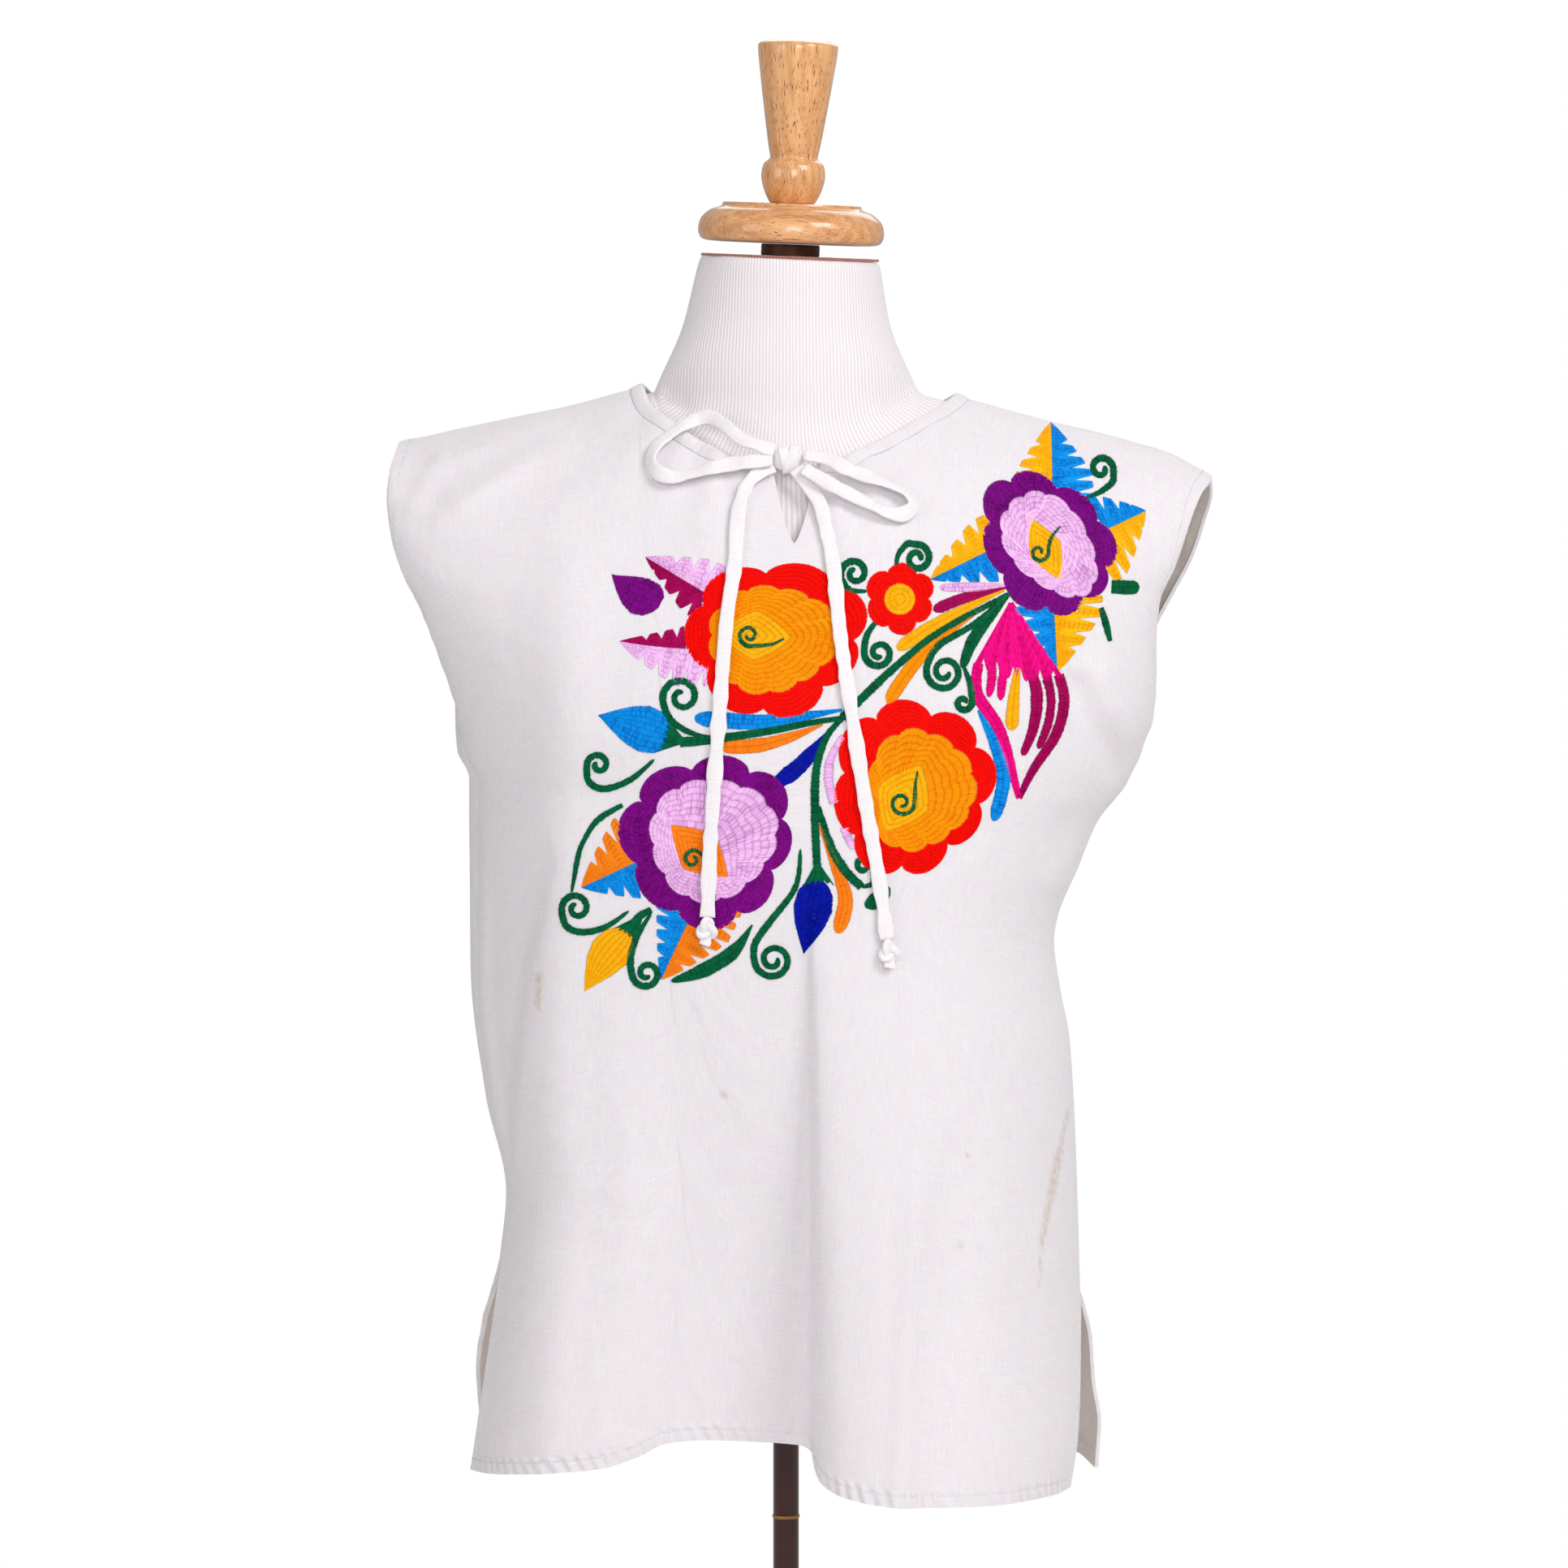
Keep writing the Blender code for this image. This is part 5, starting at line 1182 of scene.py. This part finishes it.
def rayon(name, light, dark):
    """Thread. Each stitch has its own tone, and painted shade darkens its ends, which draws dark lines between
    the rows.
    """
    made, tree, shader = new_material(name, roughness=0.5, specular_ior_level=0.06)
    tone = add_node(tree, "ShaderNodeAttribute", attribute_name="tone").outputs["Fac"]
    place = add_node(tree, "ShaderNodeTexCoord").outputs["Object"]
    faded = add_node(tree, "ShaderNodeTexNoise", {"Vector": place, "Scale": 70.0, "Detail": 2.0})
    both = add_node(tree, "ShaderNodeMath", {0: tone, 1: faded}, operation="ADD")
    amount = add_node(tree, "ShaderNodeMapRange", {"Value": both, "From Min": 0.35, "From Max": 1.05})
    colour = add_node(tree, "ShaderNodeMix", {0: amount, 6: linear(dark), 7: linear(light)}, data_type="RGBA")
    # Painted shade at the ends of each stitch: there the colour is multiplied towards grey.
    end_shade = add_node(tree, "ShaderNodeAttribute", attribute_name="end_shade").outputs["Fac"]
    end_shade_amount = add_node(tree, "ShaderNodeMapRange", {"Value": end_shade, "From Min": 0.55, "To Max": 0.45})
    final = add_node(tree, "ShaderNodeMix", {0: end_shade_amount, 6: colour.outputs[2], 7: linear("808080")},
                     data_type="RGBA", blend_type="MULTIPLY")
    dress(tree, shader, final.outputs[2])
    return made


THREADS = {name: rayon("rayon_thread_" + name, light, dark) for name, light, dark in (
    ("red", "FF0C04", "F00402"), ("yellow", "FFC012", "FFA60A"), ("gold", "FFA006", "FA8A02"),
    ("orange", "FF8E1C", "F8780C"), ("purple", "8C0C90", "5E0464"), ("lilac", "FACAF8", "D690D4"),
    ("magenta", "F8068E", "D00268"), ("wine", "B60660", "8C0348"), ("green", "046C42", "02492C"),
    ("sky_blue", "0C9CF0", "0468C8"), ("cobalt", "061AB0", "020A84"))}
COTTON_THREAD = rayon("cotton_sewing_thread", "F0EEEF", "DCDADD")
print("threads:", sorted(THREADS))


# %% [markdown]
# ## Drawing with two edges
# Every shape of the spray lies between two edges, given as matching points: a ring of petals
# lies between its outer and inner scallops, half a leaf between its midrib and its fringed
# margin, a stem between its two sides. `fill` splits the space into rows and puts stitches
# across each row. A place on the chest is one complex number in mm, x + i z, so that turning and
# growing a shape is a single multiplication. What would lie under a flower isn't sewn.

# %% Filling between two edges
PITCH, ROW = 0.80, 3.7      # between threads, and the height of a row, in mm
stitches = {name: [] for name in THREADS}
padding = {name: [] for name in THREADS}
flower_edges = []
dice = np.random.default_rng(7)


def uncovered(places, under):
    """Which places lie outside every flower sewn so far, by the turns its edge makes around them."""
    open_air = np.ones(places.shape, bool)
    for rim in (flower_edges if under else []):
        steps = (rim[1:, None] - places.ravel()) / (rim[:-1, None] - places.ravel())
        open_air &= (abs(np.angle(steps).sum(0)) < 3).reshape(places.shape)
    return open_air


def fill(thread, near, far, rows=None, pitch=PITCH, ragged=0.07, under=True):
    rows = rows or max(int(round(abs(far - near).max() / ROW)), 1)
    share = np.linspace(0.02, 0.98, rows + 1)[:, None]
    padding[thread].append((near + (far - near) * share, under))
    for k in range(rows):
        a, b = near + (far - near) * k / rows, near + (far - near) * (k + 1) / rows
        run = np.r_[0, np.cumsum(abs(np.diff((a + b) / 2)))]
        count = max(int(run[-1] / pitch), 1)
        at = (np.arange(count) + 0.5 + dice.uniform(-0.12, 0.12, count)) / count * run[-1]
        start, end = (np.interp(at, run, line.real) + 1j * np.interp(at, run, line.imag) for line in (a, b))
        along = end - start
        start = start - along * dice.uniform(-ragged, ragged, count)
        end = end + along * dice.uniform(-ragged, ragged, count)
        kept = (abs(end - start) > 0.5) & uncovered((start + end) / 2, under)
        stitches[thread].append(np.stack([start[kept], end[kept]], -1))


def smooth_line(marks, fine=14):
    line = curve_through([[mark.real, mark.imag] for mark in marks], fine)
    return line[:, 0] + 1j * line[:, 1]


def stroke(thread, marks, widths, blunt=(0.0, 0.0), rows=None, under=True):
    """A line of changing width. `blunt` rounds an end over this share of it, 0 leaves it pointed."""
    line = smooth_line(marks)
    run = np.r_[0, np.cumsum(abs(np.diff(line)))]
    s = run / run[-1]
    half = np.interp(s, np.linspace(0, 1, len(widths)), widths) / 2
    for gap, reach in ((s, blunt[0]), (1 - s, blunt[1])):
        if reach:
            half = half * np.sqrt(1 - (1 - np.clip(gap / reach, 0, 1)) ** 2)
    ahead = np.gradient(line)
    across = 1j * ahead / abs(ahead) * half
    fill(thread, line + across, line - across, rows, under=under)


def curl(tail, middle, radius, start, turns, wide=3.7, under=True):
    """A tendril: a tail that winds into a spiral. `start` is the angle where the tail meets it."""
    t = np.linspace(0, 1, int(abs(turns) * 9) + 2)
    spiral = middle + radius * (1 - 0.80 * t) * np.exp(1j * (math.radians(start) + turns * 2 * math.pi * t))
    widths = np.array((0.5, 0.95, 1.1, 1.05, 0.95, 0.9)) * wide
    stroke("green", [*tail, *spiral], widths, (0.04, 0.03), 1, under)


print("row height", ROW, "mm, pitch", PITCH, "mm")


# %% Flowers, leaves and buds
TURN = np.linspace(0, 2 * math.pi, 241)


def scallops(middle, half_x, half_z, count, depth, start, tilt=0.0, uneven=0.05):
    """The outline of a flower: an oval with this many rounded petals."""
    angle = TURN - math.radians(start)
    lobe = abs(np.cos(count * angle / 2 + 0.35 * np.sin(angle + 0.7))) ** 0.55
    sway = 1 + uneven * np.sin(2 * angle + 0.9) * 0.5 + uneven * np.cos(3 * angle)
    size = (1 - depth + depth * lobe) * sway
    oval = half_x * np.cos(TURN) + 1j * half_z * np.sin(TURN)
    return middle + oval * size * np.exp(1j * math.radians(tilt))


def lozenge(middle, half_long, half_short, tilt, pointed=1.25):
    angle = TURN - math.radians(tilt)
    along, across = abs(np.cos(angle)) / half_long, abs(np.sin(angle)) / half_short
    size = (along ** pointed + across ** pointed) ** (-1 / pointed)
    return middle + size * np.exp(1j * TURN)


def rows_for(distances, tall):
    """How many rows of this height fill the distances, but at least two."""
    return max(int(round(abs(distances).mean() / tall)), 2)


def flower(threads, petals, rosette, eye, eye_middle):
    """Three shapes inside each other: a ring of petals, a rosette, and an eye to one side."""
    fill(threads[0], petals, rosette, under=False)
    fill(threads[1], rosette, eye, rows=rows_for(rosette - eye, 3.3), under=False)
    core = eye_middle + (eye - eye_middle) * 0.04
    fill(threads[2], eye, core, rows=rows_for(eye - eye_middle, 3.4), under=False)


def leaf(base, tip, halves, fingers=5, bend=0.0):
    """A leaf of two colours. `halves` holds the thread, width and lean of the left and the right half."""
    s = np.linspace(0, 1, 120)
    ahead = (tip - base) / abs(tip - base)
    rib = base + (tip - base) * s + 1j * ahead * bend * 4 * s * (1 - s)
    for (thread, wide, lean), side in zip(halves, (1, -1)):
        body = wide * np.minimum(1, (1 - s) / 0.62) ** 0.85
        notch = np.maximum(0, 1 - abs((s * fingers + 0.25) % 1.0 - 0.5) / 0.26) * (s < 0.86)
        reach = body * (1 - 0.5 * notch)
        fill(thread, rib, rib + (1j * side + lean) * ahead * reach, ragged=0.05)


def bud(thread, base, tip, wide, bend=0.0):
    s = np.linspace(0, 1, 90)
    ahead = (tip - base) / abs(tip - base)
    line = base + (tip - base) * s + 1j * ahead * bend * 4 * s * (1 - s)
    half = wide / 2 * np.interp(s, [0, 0.06, 0.18, 0.38, 0.6, 0.8, 0.93, 1.0],
                                [0.30, 0.62, 0.90, 1.0, 0.78, 0.42, 0.15, 0.03])
    fill(thread, line + 1j * ahead * half, line - 1j * ahead * half)


def calyx(apex, base, wide):
    """The green cup that holds a bud, with a rim of five teeth, 5 mm deep."""
    s = np.linspace(-1, 1, 80)
    ahead = (base - apex) / abs(base - apex)
    teeth = 0.4 * s * s + 0.45 * abs(np.sin(s * 5 * math.pi / 2))
    rim = base + 1j * ahead * s * wide / 2 + ahead * 5.0 * teeth
    fill("green", apex + 1j * ahead * s * 1.4, rim, rows=2)


print("flower outline points:", len(scallops(0, 50, 50, 8, 0.15, 0)))


# %% [markdown]
# ## The spray
# The motifs are common folk shapes: layered flowers with an off-centre eye, leaves split into
# two colours, buds, a bell flower and curled tendrils. Their places, sizes and colours follow
# the real blouse, in mm from the middle of the front and above the floor. Their outlines come
# from the formulas above.

# %% The large flowers
def p(x, z):
    return complex(x, z)


def via(*numbers):
    """Places from a flat list of their x and z."""
    return np.array(numbers[::2]) + 1j * np.array(numbers[1::2])


FLOWERS = (
    (("red", "gold", "yellow"), scallops(p(-7, 1240.5), 57, 49, 7, 0.17, 25),
     scallops(p(-9, 1240), 41, 34, 12, 0.09, 10), lozenge(p(-19, 1242), 22, 15, -4), p(-22, 1242)),
    (("red", "gold", "yellow"), scallops(p(78, 1148), 50.5, 56, 8, 0.17, 10),
     scallops(p(83, 1146), 34, 39, 11, 0.09, 0), lozenge(p(73, 1141), 23, 17, 62), p(72, 1139)),
    (("purple", "lilac", "orange"), scallops(p(-49, 1115), 55, 54, 8, 0.16, 40),
     scallops(p(-46, 1116), 40, 39, 12, 0.08, 20), lozenge(p(-54, 1108), 24, 15, -42, 1.1), p(-55, 1107)),
    (("purple", "lilac", "yellow"), scallops(p(164, 1297.5), 50, 38, 8, 0.16, 60, tilt=-52),
     scallops(p(166, 1297), 37, 25.5, 12, 0.08, 0, tilt=-52), lozenge(p(163, 1294), 23, 11, -62, 1.1),
     p(162, 1294)),
    (("red", "red", "yellow"), scallops(p(71, 1264.5), 22, 22, 6, 0.22, 30, uneven=0.02),
     scallops(p(71, 1264), 15, 15, 6, 0.04, 30), lozenge(p(71, 1264), 9.6, 9.6, 0, 2.0), p(71, 1264)))
for threads, petals, rosette, eye, eye_middle in FLOWERS:
    flower(threads, petals, rosette, eye, eye_middle)
    flower_edges.append(petals)
print("flower stitches:", {name: sum(map(len, rows)) for name, rows in stitches.items() if rows})


# %% The bell flower: a solid cap whose lower edge is combed into petals
s = np.linspace(0, 1, 160)
combed = sum(bump(s - gap, 0.028) for gap in (0.11, 0.26, 0.44, 0.52, 0.74, 0.89))
lower_edge = p(117, 1223) + s * p(57, -9) - 1j * 5 * np.sin(s * math.pi) + 1j * 8 * np.clip(combed, 0, 1)
fill("magenta", p(141, 1261) + (s - 0.5) * 3, lower_edge, rows=9, under=False)
flower_edges.append(np.r_[p(141, 1261), lower_edge, p(141, 1261)])
for thread, marks, widths, blunt in (
        ("magenta", via(120, 1224, 119.5, 1205, 134, 1181, 146, 1139), (6, 7.5, 6.5, 3.5), (0, 0)),
        ("wine", via(171, 1216, 174.5, 1200, 169.5, 1179, 155, 1157, 146, 1139),
         (6, 7, 6.5, 5.5, 3.5), (0, 0)),
        ("magenta", via(128.5, 1224, 128.5, 1214, 126.5, 1203), (5, 5.2, 4), (0, 0.25)),
        ("magenta", via(137, 1222, 135, 1212, 134, 1201), (5, 5.2, 4.6), (0, 0.25)),
        ("wine", via(153.5, 1219, 157, 1204, 155, 1184, 148, 1166), (6.4, 7.5, 6.5, 4.4), (0, 0.06)),
        ("wine", via(163, 1216, 166, 1201, 164, 1185, 158, 1170), (5.2, 5.2, 5, 4.4), (0, 0.08)),
        ("yellow", via(145, 1221, 142.5, 1204, 141, 1182), (3.5, 7, 8.5), (0, 0.18))):
    stroke(thread, marks, widths, blunt, under=False)
print("magenta stitches:", sum(map(len, stitches["magenta"])))


# %% Leaves, buds and their cups
for base, tip, left_half, right_half, fingers, bend in (
        (p(-30, 1256), p(-88, 1290), ("wine", 17, 0.25), ("lilac", 20, 0.2), 6, 0),
        (p(-36, 1234), p(-104, 1238), ("lilac", 23, 0.2), ("wine", 14, 0.1), 7, 2),
        (p(-70, 1112), p(-128, 1084), ("sky_blue", 26, 0.05), ("orange", 30, 0.1), 7, 0),
        (p(-50, 1088), p(-78, 1027), ("orange", 28, 0.1), ("sky_blue", 21, 0.1), 8, 0),
        (p(168, 1318), p(169, 1372), ("yellow", 25, 0.0), ("sky_blue", 26, 0.1), 7, 0),
        (p(150, 1304), p(90, 1276), ("sky_blue", 21, 0.0), ("yellow", 21, 0.1), 6, 0),
        (p(180, 1296), p(228, 1317), ("sky_blue", 27, 0.0), ("yellow", 32, 0.1), 6, 0),
        (p(167, 1282), p(170, 1218), ("yellow", 31, 0.15), ("sky_blue", 25, 0.0), 7, 0)):
    leaf(base, tip, (left_half, right_half), fingers, bend)
bud("purple", p(-78, 1262), p(-109, 1279), 24, 3)
bud("sky_blue", p(-71, 1179), p(-117, 1192), 29)
bud("yellow", p(-98, 1057), p(-126, 1019), 25, -2)
bud("cobalt", p(20, 1090), p(11, 1044), 24)
stroke("cobalt", via(-13, 1146, 8, 1161, 25, 1181), (4, 10.5, 9, 2), (0.08, 0))
calyx(p(-64, 1176.5), p(-73, 1179), 21)
calyx(p(-91, 1066), p(-98, 1057), 17)
calyx(p(19.5, 1100), p(20, 1091), 19)
print("with leaves and buds:", {name: sum(map(len, rows)) for name, rows in stitches.items() if rows})


# %% Stems and long petals
for thread, marks, widths, blunt in (
        ("green", via(35, 1191, 46, 1202, 70, 1224, 98, 1245, 141, 1267), (5, 4.6, 4, 3.6, 3), (0, 0)),
        ("green", via(35, 1191, 25, 1179, 19, 1160, 18, 1131, 19.5, 1097), (3, 4.4, 4.8, 4.6, 4.4), (0, 0)),
        ("green", via(-66, 1176, -57, 1176.5, -44, 1178, -10, 1183, 15, 1188, 35, 1191),
         (6, 5, 4, 3), (0, 0)),
        ("green", via(-96, 1061, -91, 1067, -84, 1071), (4.2, 4.4, 3.6), (0, 0)),
        ("sky_blue", via(-57, 1191, -38, 1189.5, -12, 1189, 35, 1196), (10, 9.5, 7, 1.5), (0.12, 0)),
        ("orange", via(-40, 1173, -18, 1174, 2, 1179, 23, 1187), (8, 8.5, 6, 1), (0.1, 0)),
        ("lilac", via(36, 1181, 27, 1163, 29, 1141, 42, 1109), (3, 5.4, 5.4, 4), (0, 0.06)),
        ("orange", via(21, 1124, 30, 1101, 37, 1078, 32, 1057), (1.5, 5.5, 9, 10), (0, 0.16)),
        ("green", via(20, 1136, 28, 1111, 37, 1096, 47, 1086), (3, 4.2, 5.4, 5), (0, 0)),
        ("green", via(49, 1074, 57, 1078, 64, 1086), (7, 11, 7), (0.3, 0.3)),
        ("green", via(-72, 1026, -52, 1033, -33, 1045, -21, 1062), (3, 9, 8.5, 1), (0.08, 0)),
        ("green", via(-134, 1081, -130, 1103, -127, 1112, -118, 1126, -102, 1136),
         (1.4, 3.2, 2.6, 3.6, 2.6), (0, 0)),
        ("yellow", via(69, 1233, 89, 1246, 112, 1258, 137, 1269), (8.5, 7.5, 5, 1.2), (0.14, 0)),
        ("gold", via(63, 1200, 79, 1223, 99, 1242, 125, 1260), (8.5, 8, 5.5, 2), (0.12, 0)),
        ("lilac", via(96, 1271, 116, 1271, 139, 1272), (4, 6, 1.5), (0.1, 0)),
        ("wine", via(92, 1257, 112, 1264.5, 138, 1270.5), (7, 6.5, 1.2), (0.14, 0)),
        ("green", via(110, 1221, 116, 1237, 127, 1252, 141, 1268), (5, 7.5, 6, 2), (0.1, 0)),
        ("green", via(205, 1270, 213, 1269.5, 223, 1269), (8, 8.5, 8), (0, 0.2)),
        ("green", via(198, 1257, 201, 1248, 204, 1236), (3.2, 4.2, 2.6), (0, 0)),
        ("sky_blue", via(120, 1195, 131, 1172, 136, 1151, 130, 1125), (1.5, 7, 8.5, 7.5), (0, 0.12))):
    stroke(thread, marks, widths, blunt)
print("green stitches:", sum(map(len, stitches["green"])))


# %% Tendrils
for tail, middle, radius, start, turns in (
        (via(-82, 1165, -97, 1152, -113, 1146, -123, 1150), p(-117, 1161), 7.5, 190, -1.2),
        (via(-44, 1178, -60, 1182, -72, 1190), p(-65, 1204), 12, 195, -1.35),
        (via(-98, 1070, -112, 1060, -126, 1056, -137, 1059), p(-131, 1071), 9.5, 195, -1.3),
        (via(-84, 1069, -93, 1054, -97, 1041), p(-87, 1031), 9.5, 180, 1.4),
        (via(9, 1110, 6, 1086, -10, 1064, -19, 1051), p(-8, 1040), 12, 175, 1.6),
        (via(47, 1086, 54, 1088), p(48.5, 1099), 7, 330, 1.1),
        (via(51, 1269, 41, 1269.5), p(43, 1280), 9.5, 225, -1.4),
        (via(69, 1282, 70, 1291, 76, 1298), p(82, 1289), 9, 105, -1.4),
        (via(60, 1255, 51, 1243), p(58, 1231), 9.5, 170, 1.4),
        (via(139, 1266, 117, 1248, 96, 1236), p(99, 1219), 12, 150, 1.6),
        (via(111, 1222, 115, 1211), p(110.5, 1200), 6, 20, -1.1),
        (via(189, 1325, 199, 1329, 207, 1335), p(200, 1343), 8.5, -25, 1.2)):
    curl(tail, middle, radius, start, turns)
for tail, middle, radius, start, turns in (
        (via(-1, 1240, -9, 1236.5), p(-23, 1242), 7, 290, -1.35),
        (via(82, 1158, 80.5, 1149), p(72, 1138), 8, 345, -1.3),
        (via(-48, 1107), p(-58, 1103), 6.5, 20, 1.2),
        (via(173, 1308, 167, 1301), p(159, 1292), 6.5, 20, -1.15)):
    curl(tail, middle, radius, start, turns, wide=2.3, under=False)
print("all stitches:", {name: sum(map(len, rows)) for name, rows in stitches.items()})


# %% Laying every stitch and its padding on the front
def on_cloth(places, skin):
    """Chest places (complex, mm) to 3-D points on the front, by a ray cast straight back."""
    found = np.zeros((len(places), 3))
    for n, place in enumerate(places):
        hit = skin.ray_cast(Vector((place.real * MM, -1, place.imag * MM)), Vector((0, 1, 0)))[0]
        found[n] = hit if hit is not None else (place.real * MM, 0, place.imag * MM)
    return found


front_skin = skin_of(front.points, front.quads)
THREAD_WIDE, THREAD_HIGH, THREAD_LIFT = 0.90 * MM, 0.60 * MM, 0.20 * MM
LIFTS = {name: THREAD_LIFT for name in THREADS}
LIFTS["green"] *= 2                 # stems and tendrils are sewn over the rest
LONGEST = 14 * MM                   # a stitch with its ends further apart isn't sewn
embroidery = []
for seed, (name, rows) in enumerate(sorted(stitches.items())):
    pairs = np.vstack(rows)
    starts, ends = on_cloth(pairs[:, 0], front_skin), on_cloth(pairs[:, 1], front_skin)
    kept = length_of(ends - starts) < LONGEST
    embroidery.append(sewn("embroidery_" + name, starts[kept], ends[kept], front_skin, THREADS[name],
                           THREAD_WIDE, THREAD_HIGH, 1.12, seed, LIFTS[name]))
    print(name, len(pairs), "stitches,", len(embroidery[-1].data.polygons), "faces")

# The padding has no tone of its own, so it mostly takes the darker thread colour: between the rows it shows as
# painted shade.
points, quads, slots = [], [], []
for slot, (name, patches) in enumerate(sorted(padding.items())):
    for patch, under in patches:
        first, (rows, columns) = len(points), patch.shape
        index = np.arange(rows * columns).reshape(rows, columns)
        cells = np.stack([index[:-1, :-1], index[:-1, 1:], index[1:, 1:], index[1:, :-1]], -1).reshape(-1, 4)
        cells = cells[uncovered(patch.ravel()[cells].mean(1), under)]
        laid, _ = lifted(on_cloth(patch.ravel(), front_skin), front_skin, LIFTS[name])
        points += laid.tolist()
        quads += (cells + first).tolist()
        slots += [slot] * len(cells)
padding_row_shade = new_object("embroidery_padding_row_shade", points, quads, [THREADS[name] for name in sorted(padding)], slots)
print("padding faces:", len(quads))


# %% [markdown]
# ## Hem stitches
# The turned hems are held by a line of straight stitches, 2.5 mm long, that sinks into the cloth
# 7.5 mm from the edge. They follow the armholes, the side slits and the hem of each panel.

# %% Sewing the hems
STITCH_LONG, STITCH_GAP, HEM_LINE = 2.5 * MM, 1.1 * MM, 7.5 * MM


def stitch_line(line):
    """Where the stitches along a line start, and where they end."""
    run = run_of(line)
    first = np.arange(0, run[-1] - STITCH_LONG, STITCH_LONG + STITCH_GAP)
    return at_run(line, run, first), at_run(line, run, first + STITCH_LONG)


def hem_lines(piece, grid):
    """Lines of points just inside the turned edges of a panel."""
    lines = []
    for rows in (grid.rows[0] < 1.0, grid.rows[0] > 2.0):
        for flip in (1, -1):
            line = []
            for j in np.flatnonzero(rows):
                across = piece.points[piece.left[::flip, j]]
                line.append(at_run(across, run_of(across), HEM_LINE))
            lines.append(np.array(line))
    to_hem = grid.down - grid.down[:, -1:]
    lines.append(np.array([at_run(piece.points[piece.left[i]], to_hem[i], -HEM_LINE)
                           for i in range(len(to_hem))]))
    return lines


extras = []
for piece, grid, side in ((front, front_grid, "front"), (back, back_grid, "back")):
    both = [stitch_line(line) for line in hem_lines(piece, grid)]
    starts, ends = (np.vstack([pair[n] for pair in both]) for n in (0, 1))
    extras.append(sewn("hem_stitches_" + side, starts, ends, skin_of(piece.points, piece.quads),
                       COTTON_THREAD, 0.8 * MM, 0.5 * MM, 1.0, 40, lift=0.05 * MM))
    print(side, "hem stitches:", len(starts))
extras += [*embroidery, padding_row_shade]


# %% [markdown]
# ## Which piece stands for which solid
# Every piece rides on the part's one body, and each names the solid that it stands for.

# %% Bodies and finishes
dressing = [
    (front.thing, "front_panel", "cotton"), (back.thing, "back_panel", "cotton"),
    (casing, "neck_casing", "cotton"), (knot_core, "bow_knot", "cotton"),
    *[(wrap, "bow_knot", "cotton") for wrap in knot_wraps],
    (form, "form_body", "jersey"), (rim_painted_shadow, "form_body", "jersey")]
dressing += [(ties[name], name, "cotton") for name in ties]
dressing += [(piece, "tail_knot_" + side, "cotton") for side, pair in tail_knots.items() for piece in pair]
dressing += [(turned_pieces[node], node, slot) for node, slot in (
    ("cap_disc", "cap_wood"), ("finial", "cap_wood"), ("cap_stem", "dark_steel"), ("pole_upper", "mahogany"),
    ("pole_collar", "collar"), ("pole_lower", "mahogany"), ("base", "mahogany"))]
for thing, node, slot in dressing:
    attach(thing, "root")
    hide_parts(node)
for thing in extras:
    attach(thing, "root")

for name, far_end in (("tie_loop_left", "object"), ("tie_loop_right", "object"), ("tie_tail_left", "knot"),
                      ("tie_tail_right", "knot")):
    path = tie_paths[name]
    side = name.rsplit("_", 1)[1]
    tuple(path[0])
    float(run_of(path)[-1])
    list(tail_knots[side]) if far_end == "knot" else []
print("pieces:", len(dressing) + len(extras))
